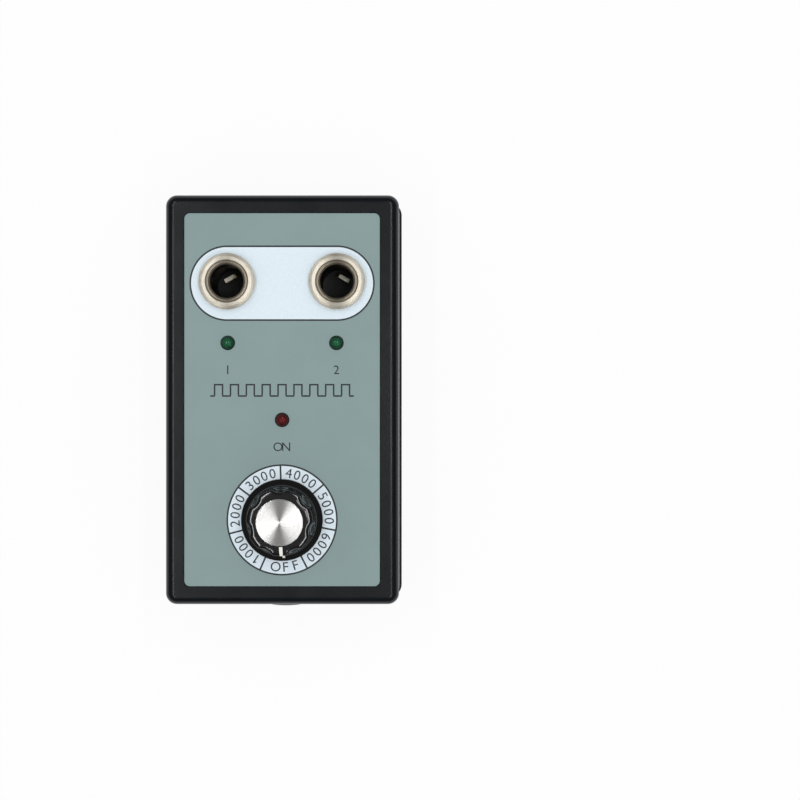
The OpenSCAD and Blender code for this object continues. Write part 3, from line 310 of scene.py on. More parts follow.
class Finish:
    """A procedural material, with short ways to build its nodes."""

    def __init__(self, name, **sockets):
        self.material = bpy.data.materials.new(name)
        self.material.use_nodes = True
        self.tree = self.material.node_tree
        self.shader = self.tree.nodes["Principled BSDF"]
        self.place = self.add("TexCoord").outputs["Object"]
        for key, value in sockets.items():
            self.set(key.replace("_", " "), value)

    def add(self, kind, inputs=None, **settings):
        made = self.tree.nodes.new("ShaderNode" + kind)
        for key, value in settings.items():
            setattr(made, key, value)
        for key, value in (inputs or {}).items():
            self.feed(made.inputs[key], value)
        return made

    def feed(self, socket, value):
        if isinstance(value, bpy.types.NodeSocket):
            self.tree.links.new(value, socket)
        elif socket.type == "RGBA" and len(value) == 3:
            socket.default_value = (*value, 1.0)
        else:
            socket.default_value = value

    def set(self, key, value):
        self.feed(self.shader.inputs[key], value)

    def noise(self, size, detail=2.0, at=None):
        made = self.add("TexNoise", {"Vector": at or self.place, "Scale": 1 / size,
                                     "Detail": detail})
        return made.outputs["Fac"]

    def spread(self, value, low_end, high_end, start=0.25, end=0.75):
        """Maps the middle of a value's range on to two ends."""
        made = self.add("MapRange", {"Value": value, "From Min": start, "From Max": end,
                                     "To Min": low_end, "To Max": high_end})
        return made.outputs["Result"]

    def blend(self, factor, first, second):
        made = self.add("Mix", data_type="RGBA")
        self.feed(made.inputs[0], factor)
        self.feed(made.inputs[6], first)
        self.feed(made.inputs[7], second)
        return made.outputs[2]

    def shades(self, value, base, amount):
        """A colour that goes a little darker and lighter with a value."""
        dark = tuple(c * (1 - amount) for c in base)
        light = tuple(min(c * (1 + amount), 1.0) for c in base)
        return self.blend(self.spread(value, 0.0, 1.0), dark, light)

    def ring_radius(self, spot, turn=(0, 0, 0)):
        """Distance from the upright axis through a spot, or from that axis turned."""
        centred = self.add("VectorMath", {0: self.place, 1: tuple(spot)}, operation="SUBTRACT")
        flat = self.add("Mapping", {"Vector": centred.outputs[0], "Rotation": turn,
                                    "Scale": (1, 1, 0)})
        return self.add("VectorMath", {0: flat.outputs[0]}, operation="LENGTH").outputs["Value"]

    def ring_noise(self, radius, size, detail=3.0):
        """Noise that changes only with the radius, as turning lines do."""
        made = self.add("TexNoise", {"W": radius, "Scale": 1 / size, "Detail": detail},
                        noise_dimensions="1D")
        return made.outputs["Fac"]

    def draw_out(self, amount):
        """Draws the gloss out across the rings about the piece's upright axis."""
        self.set("Anisotropic", amount)
        self.set("Anisotropic Rotation", 0.25)
        self.set("Tangent", self.add("Tangent", direction_type="RADIAL", axis="Z").outputs[0])

    def bump(self, height, distance, strength):
        made = self.add("Bump", {"Height": height, "Distance": distance, "Strength": strength})
        self.set("Normal", made.outputs["Normal"])


def moulded_plastic(name, base, grain, roughness, depth, gloss=0.5):
    """Moulded plastic with a fine grain and a slow change of tone and gloss."""
    finish = Finish(name, Specular_IOR_Level=gloss)
    slow = finish.noise(9 * MM, 3.0)
    fine = finish.noise(grain, 2.0)
    finish.set("Base Color", finish.shades(slow, base, 0.1))
    finish.set("Roughness", finish.spread(slow, roughness - 0.02, roughness + 0.02))
    finish.bump(fine, depth, 0.5)
    return finish.material


def glossy_plastic(name, base, roughness=0.12, gloss=0.5):
    """Polished moulding with faint flow marks and a few dull specks."""
    finish = Finish(name, Specular_IOR_Level=gloss)
    slow = finish.noise(5 * MM, 3.0)
    specks = finish.noise(0.25 * MM, 1.0)
    finish.set("Base Color", finish.shades(slow, base, 0.2))
    finish.set("Roughness", finish.spread(specks, roughness, roughness + 0.1, 0.62, 0.78))
    finish.bump(slow, 0.03 * MM, 0.2)
    return finish.material


def panel_film(name, base):
    """Screen-printed film: fine mottling in the colour and a faint satin texture."""
    finish = Finish(name)
    cloud = finish.noise(14 * MM, 3.0)
    mottle = finish.noise(0.9 * MM, 3.0)
    tone = finish.shades(cloud, base, 0.035)
    light = tuple(min(c * 1.08, 1.0) for c in base)
    finish.set("Base Color", finish.blend(finish.spread(mottle, 0.0, 0.45), tone, light))
    finish.set("Roughness", finish.spread(mottle, 0.42, 0.52))
    finish.bump(finish.noise(0.22 * MM, 2.0), 0.006 * MM, 0.35)
    return finish.material


def printed_ink(name, base, roughness=0.45):
    """Screen ink with a slight change in cover."""
    finish = Finish(name)
    cover = finish.noise(0.5 * MM, 3.0)
    finish.set("Base Color", finish.shades(cover, base, 0.045))
    finish.set("Roughness", finish.spread(cover, roughness - 0.05, roughness + 0.07))
    finish.bump(cover, 0.004 * MM, 0.3)
    return finish.material


def turned_metal(name, base, spot, roughness=0.3, turn=(0, 0, 0), drawn=0.0, painted_shade_band=None):
    """Plated or bare metal from a lathe: fine rings about its own axis and a little tarnish.

    Its gloss can be drawn out across the rings, and its colour can turn to black between
    two heights, as painted shade down a bore.
    """
    finish = Finish(name, Metallic=1.0)
    if drawn:
        finish.draw_out(drawn)
    rings = finish.ring_noise(finish.ring_radius(spot, turn), 0.12 * MM)
    tarnish = finish.noise(2.2 * MM, 4.0)
    dull = tuple(c * f for c, f in zip(base, (0.78, 0.72, 0.64)))
    tone = finish.blend(finish.spread(tarnish, 0.0, 0.7, 0.5, 0.8), base, dull)
    # Painted shade: between the band's two heights the colour darkens to near black, standing in for the
    # shade down a bore
    if painted_shade_band:
        height = finish.add("SeparateXYZ", {0: finish.place}).outputs["Z"]
        tone = finish.blend(finish.spread(height, 0.0, 1.0, *painted_shade_band), (0.012, 0.011, 0.01), tone)
    finish.set("Base Color", tone)
    finish.set("Roughness", finish.spread(rings, roughness - 0.06, roughness + 0.08))
    finish.bump(rings, 0.012 * MM, 0.5)
    return finish.material


def plated_metal(name, base, roughness=0.32, streak=(1, 1, 1)):
    """Stamped or plated metal with a fine directional scratch and slow tone."""
    finish = Finish(name, Metallic=1.0)
    stretched = finish.add("Mapping", {"Vector": finish.place, "Scale": streak}).outputs[0]
    scratch = finish.noise(0.18 * MM, 2.0, stretched)
    tone = finish.noise(3 * MM, 3.0)
    finish.set("Base Color", finish.shades(tone, base, 0.1))
    finish.set("Roughness", finish.spread(scratch, roughness - 0.03, roughness + 0.04))
    finish.bump(scratch, 0.006 * MM, 0.4)
    return finish.material


def spun_cap(name, base, spot):
    """Spun aluminium: the gloss is drawn out across the fine rings, in bright and grey wedges."""
    finish = Finish(name, Metallic=1.0)
    finish.draw_out(0.92)
    rings = finish.ring_noise(finish.ring_radius(spot), 0.09 * MM, 4.0)
    finish.set("Base Color", finish.shades(rings, base, 0.06))
    finish.set("Roughness", finish.spread(rings, 0.24, 0.32))
    finish.bump(rings, 0.004 * MM, 0.35)
    return finish.material


def tinted_lens(name, base, spot, radius):
    """Clear tinted resin with faint flow lines; its colour is painted darker towards the rim, as painted
    shade for the dark look of the dome's edge.
    """
    finish = Finish(name, Transmission_Weight=0.6, IOR=1.45, Specular_IOR_Level=0.25)
    flow = finish.noise(1.1 * MM, 2.0)
    # Painted shade: the colour darkens towards the lens's rim, standing in for the dark look of the
    # dome's edge
    painted_rim_shade = tuple(c * 0.25 for c in base)
    rim = finish.spread(finish.ring_radius(spot), 0.0, 1.0, 0.5 * radius, 0.85 * radius)
    finish.set("Base Color", finish.blend(rim, finish.shades(flow, base, 0.12), painted_rim_shade))
    finish.set("Roughness", finish.spread(flow, 0.04, 0.1))
    finish.bump(flow, 0.01 * MM, 0.15)
    return finish.material


def laminate(name, base):
    """Circuit board with its varnish and the weave below it."""
    finish = Finish(name, Coat_Weight=0.35)
    weave = finish.add("TexChecker", {"Vector": finish.place, "Scale": 1 / (0.6 * MM)}).outputs["Fac"]
    slow = finish.noise(6 * MM, 3.0)
    light = tuple(min(c * 1.25, 1.0) for c in base)
    tone = finish.shades(slow, base, 0.12)
    share = finish.add("Math", {0: weave, 1: 0.3}, operation="MULTIPLY").outputs[0]
    finish.set("Base Color", finish.blend(share, tone, light))
    finish.set("Roughness", finish.spread(slow, 0.34, 0.44))
    finish.bump(weave, 0.01 * MM, 0.2)
    return finish.material


def looked_at(tree):
    """One for a camera, glossy or transmission ray, and nought for the light itself."""
    path = tree.nodes.new("ShaderNodeLightPath")
    either = path.outputs["Is Camera Ray"]
    for key in ("Is Glossy Ray", "Is Transmission Ray"):
        most = tree.nodes.new("ShaderNodeMath")
        most.operation = "MAXIMUM"
        tree.links.new(either, most.inputs[0])
        tree.links.new(path.outputs[key], most.inputs[1])
        either = most.outputs[0]
    return either


# Mesh helpers

def tidy(bm):
    """Merges doubles and turns all faces outwards."""
    bmesh.ops.remove_doubles(bm, verts=bm.verts, dist=0.0001 * MM)
    bmesh.ops.recalc_face_normals(bm, faces=bm.faces)
    return bm


def moved(bm, place):
    bmesh.ops.transform(bm, matrix=place, verts=bm.verts)
    return bm


def add_piece(bm, name, body, material, stands_for=(), crease=40):
    """Makes a finished mesh a piece that rides on a body."""
    mesh = bpy.data.meshes.new(name)
    bm.to_mesh(mesh)
    bm.free()
    mesh.shade_smooth()
    mesh.set_sharp_from_angle(angle=math.radians(crease))
    mesh.materials.append(material)
    piece = bpy.data.objects.new(name, mesh)
    bpy.context.scene.collection.objects.link(piece)
    even = piece.modifiers.new("even_shading", "WEIGHTED_NORMAL")
    even.keep_sharp = True
    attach(piece, body)
    if stands_for:
        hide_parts(*stands_for)
    return piece


def dress(node, material):
    """Gives a node of the frame a new finish."""
    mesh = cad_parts[node].data
    mesh.materials.clear()
    mesh.materials.append(material)


def rounded(corners, steps=5):
    """Section through corners (radius, height, fillet), each rounded by its fillet."""
    points = []
    for i, (x, z, fillet) in enumerate(corners):
        here = Vector((x, z))
        if not fillet:
            points.append(here)
            continue
        before = (Vector(corners[i - 1][:2]) - here).normalized()
        after = (Vector(corners[(i + 1) % len(corners)][:2]) - here).normalized()
        half = before.angle(after) / 2
        centre = here + (before + after).normalized() * (fillet / math.sin(half))
        start = here + before * (fillet / math.tan(half)) - centre
        end = here + after * (fillet / math.tan(half)) - centre
        points += [centre + start.lerp(end, k / steps).normalized() * fillet for k in range(steps + 1)]
    return points


def turned(section, steps=96):
    """Spins a closed section of (radius, height) points about the upright axis."""
    bm = bmesh.new()
    verts = [bm.verts.new((x, 0, z)) for x, z in section]
    for start, end in zip(verts, verts[1:] + verts[:1]):
        if start.co.x > 0 or end.co.x > 0:
            bm.edges.new((start, end))
    bmesh.ops.spin(bm, geom=bm.verts[:] + bm.edges[:], cent=(0, 0, 0), axis=(0, 0, 1),
                   angle=math.tau, steps=steps, use_merge=True)
    return tidy(bm)


def eased_copy(node, width, sharp=30, segments=2):
    """Copy of a node's mesh, merged, with its sharp edges rounded."""
    bm = bmesh.new()
    bm.from_mesh(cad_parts[node].data)
    bmesh.ops.remove_doubles(bm, verts=bm.verts, dist=0.002 * MM)
    bmesh.ops.dissolve_limit(bm, angle_limit=math.radians(0.5), verts=bm.verts, edges=bm.edges)
    edges = [e for e in bm.edges if e.is_manifold and e.calc_face_angle() > math.radians(sharp)]
    bmesh.ops.bevel(bm, geom=edges, offset=width, offset_type="OFFSET", segments=segments,
                    profile=0.5, affect="EDGES", clamp_overlap=True, material=-1)
    return bm


def ease_node(node, width, name, material):
    """Stands a copy with rounded edges in for a node of the case."""
    add_piece(eased_copy(node, width), name, "case", material, [node])


def add_turned(section, node, name, body, material, steps=96):
    """Spins a section about a node's axis and stands it in for the node."""
    add_piece(moved(turned(section, steps), on_axis(node)), name, body, material, [node])


def ring_of(bm, radius, spot=(0, 0, 0), pull=0.0, steps=126):
    """Adds the edge of a circle, or of a circle whose halves are pulled apart along X."""
    made = bmesh.ops.create_circle(bm, segments=steps, radius=radius)["verts"]
    for vert in made:
        vert.co.x += math.copysign(pull, vert.co.x)
    bmesh.ops.translate(bm, vec=spot, verts=made)
    return list({edge for vert in made for edge in vert.link_edges})


def filled(bm, edges, thickness):
    """Fills flat outlines, with holes where they lie inside each other, and thickens the film."""
    faces = bmesh.ops.triangle_fill(bm, use_beauty=True, edges=edges, normal=(0, 0, 1))["geom"]
    faces = [face for face in faces if isinstance(face, bmesh.types.BMFace)]
    thicken(bm, faces, thickness)


def thicken(bm, faces, thickness):
    raised = bmesh.ops.extrude_face_region(bm, geom=faces, use_keep_orig=True)["geom"]
    verts = [item for item in raised if isinstance(item, bmesh.types.BMVert)]
    bmesh.ops.translate(bm, vec=(0, 0, thickness), verts=verts)


def bar(bm, size, place):
    """Adds a plain bar of a size, centred, in its place."""
    bmesh.ops.create_cube(bm, size=1.0, matrix=place @ Matrix.Diagonal((*size, 1.0)))


def glyph(bm, character, height, thickness, place):
    """Adds one numeral or letter, centred on its own width and scaled to a height."""
    curve = bpy.data.curves.new("glyph", "FONT")
    curve.body = character
    holder = bpy.data.objects.new("glyph", curve)
    bpy.context.scene.collection.objects.link(holder)
    bpy.context.view_layer.update()
    mesh = bpy.data.meshes.new_from_object(holder.evaluated_get(bpy.context.evaluated_depsgraph_get()))
    old = len(bm.verts)
    bm.from_mesh(mesh)
    bm.verts.ensure_lookup_table()
    made = bm.verts[old:]
    bmesh.ops.remove_doubles(bm, verts=made, dist=1e-6)
    bm.verts.ensure_lookup_table()
    made = bm.verts[old:]
    xs = [vert.co.x for vert in made]
    ys = [vert.co.y for vert in made]
    centre = Vector(((min(xs) + max(xs)) / 2, (min(ys) + max(ys)) / 2, 0))
    size = height / (max(ys) - min(ys))
    fit = place @ Matrix.Diagonal((size, size, 1.0, 1.0)) @ Matrix.Translation(-centre)
    bmesh.ops.transform(bm, matrix=fit, verts=made)
    faces = list({face for vert in made for face in vert.link_faces})
    thicken(bm, faces, thickness)
    bpy.data.objects.remove(holder)
    bpy.data.curves.remove(curve)
    bpy.data.meshes.remove(mesh)


def cut_hole(bm, cutter):
    """Cuts one closed mesh out of another."""
    pair = []
    for name, part in (("blank", bm), ("cutter", cutter)):
        mesh = bpy.data.meshes.new(name)
        part.to_mesh(mesh)
        part.free()
        pair.append(bpy.data.objects.new(name, mesh))
        bpy.context.scene.collection.objects.link(pair[-1])
    blank, tool = pair
    change = blank.modifiers.new("hole", "BOOLEAN")
    change.operation = "DIFFERENCE"
    change.solver = "EXACT"
    change.object = tool
    bpy.context.view_layer.update()
    mesh = bpy.data.meshes.new_from_object(blank.evaluated_get(bpy.context.evaluated_depsgraph_get()))
    result = bmesh.new()
    result.from_mesh(mesh)
    for part in pair:
        old = part.data
        bpy.data.objects.remove(part)
        bpy.data.meshes.remove(old)
    bpy.data.meshes.remove(mesh)
    return result


# Pieces

class MakeCase(bpy.types.Operator):
    """Front cover, wall, back cover and case screws"""
    bl_idname = "tester.make_case"
    bl_label = "Make case"

    def execute(self, context):
        case = context.scene.tester_case
        cover = moulded_plastic("cover_satin_black", case.cover_colour, case.grain, 0.24,
                                0.008 * MM, 0.36)
        wall = moulded_plastic("wall_matt_black", case.wall_colour, case.grain, 0.58, 0.03 * MM)
        back = moulded_plastic("back_satin_black", case.cover_colour, case.grain, 0.46,
                               0.008 * MM, 0.3)
        zinc = plated_metal("zinc_screw", context.scene.tester_inner.steel_colour, 0.34)
        ease_node("front_cover", case.edge, "front_cover_moulding", cover)
        ease_node("case_body", case.edge, "case_wall_moulding", wall)
        ease_node("back_cover", case.edge, "back_cover_moulding", back)
        ease_node("case_screws", 0.12 * MM, "case_screws_zinc", zinc)
        return {"FINISHED"}


class MakePanel(bpy.types.Operator):
    """Panel film with its printed fields, outlines and dial"""
    bl_idname = "tester.make_panel"
    bl_label = "Make panel"

    def execute(self, context):
        panel = context.scene.tester_panel
        film = panel_film("panel_film", panel.film_colour)
        ease_node("panel_label", 0.06 * MM, "panel_film", film)
        white = printed_ink("white_print", panel.white_colour)
        ink = printed_ink("dark_print", panel.ink_colour)
        self.make_field(panel, white, ink)
        self.make_dial(panel, white, ink)
        return {"FINISHED"}

    def make_field(self, panel, white, ink):
        left, right = middle("socket_nut_left"), middle("socket_nut_right")
        pull = (right.x - left.x) / 2
        spot = Vector((0, left.y - panel.field_drop, high("panel_label").z))
        hole = half_width("socket_nut_left") - FIELD_TUCK
        inside = panel.field_radius
        outside = inside + panel.field_line
        fill = bmesh.new()
        edges = ring_of(fill, inside, spot, pull)
        for centre in (left, right):
            edges += ring_of(fill, hole, (centre.x, centre.y, spot.z))
        filled(fill, edges, panel.ink_thickness)
        add_piece(tidy(fill), "socket_field_white", "case", white)
        line = bmesh.new()
        edges = ring_of(line, outside, spot, pull) + ring_of(line, inside, spot, pull)
        filled(line, edges, panel.ink_thickness)
        add_piece(tidy(line), "socket_field_outline", "case", ink)

    def make_dial(self, panel, white, ink):
        axis = middle("knob_cap")
        spot = Vector((axis.x, axis.y, high("panel_label").z))
        inside = panel.dial_radius - panel.dial_line
        field = bmesh.new()
        filled(field, ring_of(field, inside, spot) + ring_of(field, panel.dial_inner, spot),
               panel.ink_thickness)
        add_piece(tidy(field), "dial_ring_white", "case", white)
        lines = bmesh.new()
        filled(lines, ring_of(lines, panel.dial_radius, spot) + ring_of(lines, inside, spot),
               panel.ink_thickness)
        tidy(lines)
        count = len(DIAL_FIELDS)
        reach = inside - panel.dial_inner
        for i in range(count):
            turn = math.pi / 2 + panel.dial_turn + i * math.tau / count
            place = (Matrix.Translation(spot) @ Matrix.Rotation(turn, 4, "Z")
                     @ Matrix.Translation((panel.dial_inner + reach / 2, 0, panel.ink_thickness)))
            bar(lines, (reach, panel.divider, panel.ink_thickness), place)
        add_piece(lines, "dial_lines", "case", ink)


class MakeMarks(bpy.types.Operator):
    """Numbers on the dial, marks below the lamps and the pulse trace"""
    bl_idname = "tester.make_marks"
    bl_label = "Make marks"

    def execute(self, context):
        panel = context.scene.tester_panel
        ink = printed_ink("mark_print", panel.ink_colour)
        base = high("panel_label").z
        self.make_numbers(panel, ink, base + panel.ink_thickness)
        self.make_lamp_marks(panel, ink, base)
        self.make_trace(panel, ink, base)
        return {"FINISHED"}

    def make_numbers(self, panel, ink, base):
        axis = middle("knob_cap")
        spot = Matrix.Translation((axis.x, axis.y, base))
        marks = bmesh.new()
        step = math.tau / len(DIAL_FIELDS)
        for i, text in enumerate(DIAL_FIELDS):
            field = -math.pi / 2 + panel.dial_turn - i * step
            upright = i == 0
            turn = panel.letter_step if upright else -panel.numeral_step
            start = field + (panel.letter_turn if upright else 0.0)
            for k, character in enumerate(text):
                at = start + (k - (len(text) - 1) / 2) * turn
                facing = Matrix.Rotation(math.pi if upright else 0.0, 4, "Z")
                place = (spot @ Matrix.Rotation(at - math.pi / 2, 4, "Z")
                         @ Matrix.Translation((0, panel.numeral_radius, 0)) @ facing)
                glyph(marks, character, panel.numeral_height, panel.ink_thickness, place)
                if character == "1":
                    self.make_flag(panel, marks, place)
        add_piece(marks, "dial_numbers", "case", ink)

    def make_flag(self, panel, marks, place):
        """The short stroke that leans down from the top of a one."""
        width = FLAG_WIDTH * panel.numeral_height
        across = panel.numeral_flag / 2
        tip = Matrix.Translation((-across * math.cos(FLAG_LEAN), panel.numeral_height / 2 - width
                                  - across * math.sin(FLAG_LEAN) / 2, panel.ink_thickness / 2))
        bar(marks, (panel.numeral_flag, width, panel.ink_thickness),
            place @ tip @ Matrix.Rotation(FLAG_LEAN, 4, "Z"))

    def make_lamp_marks(self, panel, ink, base):
        marks = bmesh.new()
        pitch = MARK_PITCH * panel.mark_height
        for node, text in (("signal_lamp_left", "1"), ("signal_lamp_right", "2"),
                           ("power_lamp", "ON")):
            lamp = middle(node)
            for k, character in enumerate(text):
                x = lamp.x + (k - (len(text) - 1) / 2) * pitch
                place = Matrix.Translation((x, lamp.y - MARK_DROP * panel.mark_height, base))
                glyph(marks, character, panel.mark_height, panel.ink_thickness, place)
        add_piece(marks, "lamp_marks", "case", ink)

    def make_trace(self, panel, ink, base):
        """A row of plain square pulses on one base line."""
        between = (middle("signal_lamp_left").y + middle("power_lamp").y) / 2
        spot = Matrix.Translation((0, between - TRACE_DROP, base + panel.ink_thickness / 2))
        pitch = panel.trace_length / panel.trace_pulses
        line, rise = panel.trace_line, panel.trace_height
        trace = bmesh.new()
        for i in range(panel.trace_pulses):
            x = (i - (panel.trace_pulses - 1) / 2) * pitch
            top = spot @ Matrix.Translation((x, rise / 2 - line / 2, 0))
            bar(trace, (pitch / 2 + line, line, panel.ink_thickness), top)
            for side in (-1, 1):
                leg = spot @ Matrix.Translation((x + side * pitch / 4, 0, 0))
                bar(trace, (line, rise - 2 * line, panel.ink_thickness), leg)
                foot = spot @ Matrix.Translation((x + side * pitch * 3 / 8, line / 2 - rise / 2, 0))
                bar(trace, (pitch / 4 + line / 2, line, panel.ink_thickness), foot)
        add_piece(trace, "pulse_trace", "case", ink)


class MakeSockets(bpy.types.Operator):
    """Nuts, sleeves, insulating tubes and contact strips of the plug sockets"""
    bl_idname = "tester.make_sockets"
    bl_label = "Make sockets"

    def execute(self, context):
        socket = context.scene.tester_socket
        tube = moulded_plastic("tube_black", socket.tube_colour, 0.5 * MM, 0.4, 0.02 * MM)
        brass = plated_metal("contact_brass", socket.brass_colour, 0.3)
        for side in SIDES:
            self.make_nut(socket, side)
            self.make_sleeve(socket, side)
            ease_node(f"socket_insulator_{side}", 0.15 * MM, f"socket_tube_{side}",
                      tube)
            ease_node(f"contact_base_{side}", 0.05 * MM, f"contact_foot_{side}", brass)
            self.make_strip(socket, side)
        dress("socket_earth_tags", plated_metal("tag_brass", socket.brass_colour, 0.4))
        return {"FINISHED"}

    def make_strip(self, socket, side):
        """The bending strip, twisted a little so that its face shows up through the bore."""
        node = f"contact_arm_{side}"
        turn = socket.strip_turn if SIDES[side] < 0 else math.pi - socket.strip_turn
        spot = Matrix.Translation(middle(node))
        slant = Matrix.Rotation(turn, 4, "Z")
        twist = (Matrix.Rotation(socket.strip_lean, 4, "Y") @ slant
                 @ Matrix.Rotation(-socket.strip_level, 4, "Y") @ slant.inverted())
        strip = moved(eased_copy(node, 0.06 * MM), spot @ twist @ spot.inverted())
        tinned = plated_metal(f"strip_tinned_{side}", socket.strip_colour, 0.34, (0.25, 0.25, 1))
        add_piece(strip, f"contact_strip_{side}", f"{side}_contact", tinned, [node])

    def make_nut(self, socket, side):
        node = f"socket_nut_{side}"
        base, top = low(node).z, high(node).z
        rim = half_width(node)
        hole = socket.neck_radius + socket.thread_gap
        section = rounded([
            (hole, base, 0), (rim, base, 0.12 * MM), (rim, top - socket.nut_slope, 0.5 * MM),
            (rim - socket.nut_bevel, top, 0.6 * MM), (hole + socket.ring_chamfer, top, 0.1 * MM),
            (hole, top - socket.ring_chamfer, 0)])
        nickel = turned_metal(f"nut_nickel_{side}", socket.nickel_colour, middle(node), 0.42,
                              drawn=0.85)
        add_turned(section, node, f"socket_ring_{side}", "case", nickel)

    def make_sleeve(self, socket, side):
        node = f"socket_sleeve_{side}"
        base, top = low(node).z, high(node).z
        shoulder = half_width(node)
        tag_low = low("socket_earth_tags").z
        tube = f"socket_insulator_{side}"
        bore, neck = socket.bore_radius, socket.neck_radius
        seat = high(tube).z
        cup = half_width(tube) + CUP_GAP
        shell = cup + CUP_WALL
        mouth = top - socket.mouth_chamfer
        turns = int((mouth - seat) / socket.thread_pitch) - 1
        groove = []
        for i in range(turns, 0, -1):
            z = seat + i * socket.thread_pitch
            groove += [(bore, z + GROOVE_SHARE * socket.thread_pitch, 0),
                       (bore + socket.thread_depth, z, 0.04 * MM),
                       (bore, z - GROOVE_SHARE * socket.thread_pitch, 0)]
        section = rounded([
            (neck, tag_low, 0), (neck, top - socket.ring_chamfer, 0),
            (neck - socket.ring_chamfer, top, 0.08 * MM),
            (bore + socket.mouth_chamfer, top, 0.15 * MM), (bore, mouth, 0.2 * MM), *groove,
            (bore, seat, 0), (cup, seat, 0), (cup, base, 0), (shell, base, 0), (shell, seat, 0),
            (shoulder, seat, 0), (shoulder, tag_low, 0)])
        # Painted shade: the sleeve colour is darkened, and the bore's colour turns to black below the
        # mouth
        nickel = turned_metal(f"sleeve_nickel_shaded_{side}", socket.sleeve_shaded_colour, middle(node), 0.38,
                              drawn=0.85, painted_shade_band=(mouth - BORE_SHADE_DEPTH, mouth))
        add_turned(section, node, f"socket_neck_{side}", "case", nickel)


class MakeLamps(bpy.types.Operator):
    """Lenses of the three lamps, with the posts that show inside them"""
    bl_idname = "tester.make_lamps"
    bl_label = "Make lamps"

    def execute(self, context):
        lamp = context.scene.tester_lamp
        post = plated_metal("lamp_post", context.scene.tester_inner.steel_colour, 0.3)
        for node, tint, slot in (("signal_lamp_left", lamp.green_colour, "green_lens"),
                                 ("signal_lamp_right", lamp.green_colour, "green_lens"),
                                 ("power_lamp", lamp.red_colour, "red_lens")):
            resin = tinted_lens(f"{node}_resin", tint, middle(node), lamp.body_radius)
            self.make_lens(lamp, node, resin, slot)
            self.make_posts(lamp, node, post)
        dress("lamp_legs", post)
        return {"FINISHED"}

    def make_lens(self, lamp, node, tint, slot):
        base, top = low(node).z, high(node).z
        foot = half_width(node)
        body = lamp.body_radius
        dome = [(body * math.cos(a), top - body + body * math.sin(a))
                for a in (math.radians(6 * k) for k in range(15))]
        step = base + lamp.foot_height
        below = rounded([(0, base, 0), (foot, base, 0.1 * MM), (foot, step, 0.15 * MM),
                         (body, step, 0)])
        section = [tuple(p) for p in below] + dome + [(0, top)]
        add_turned(section, node, f"{node}_lens", "case", tint, 64)

    def make_posts(self, lamp, node, material):
        base, top = low(node).z, high(node).z - lamp.post_drop
        posts = bmesh.new()
        for side in (-1, 1):
            tall = top - base - (POST_STEP if side > 0 else 0)
            x = side * (lamp.post_gap + lamp.post_width) / 2
            bar(posts, (lamp.post_width, lamp.post_depth, tall),
                Matrix.Translation((x, -lamp.post_offset, base + tall / 2)))
        bmesh.ops.bevel(posts, geom=posts.edges[:], offset=0.08 * MM, segments=2, profile=0.5,
                        affect="EDGES", material=-1)
        add_piece(moved(posts, on_axis(node)), f"{node}_posts", "case", material)


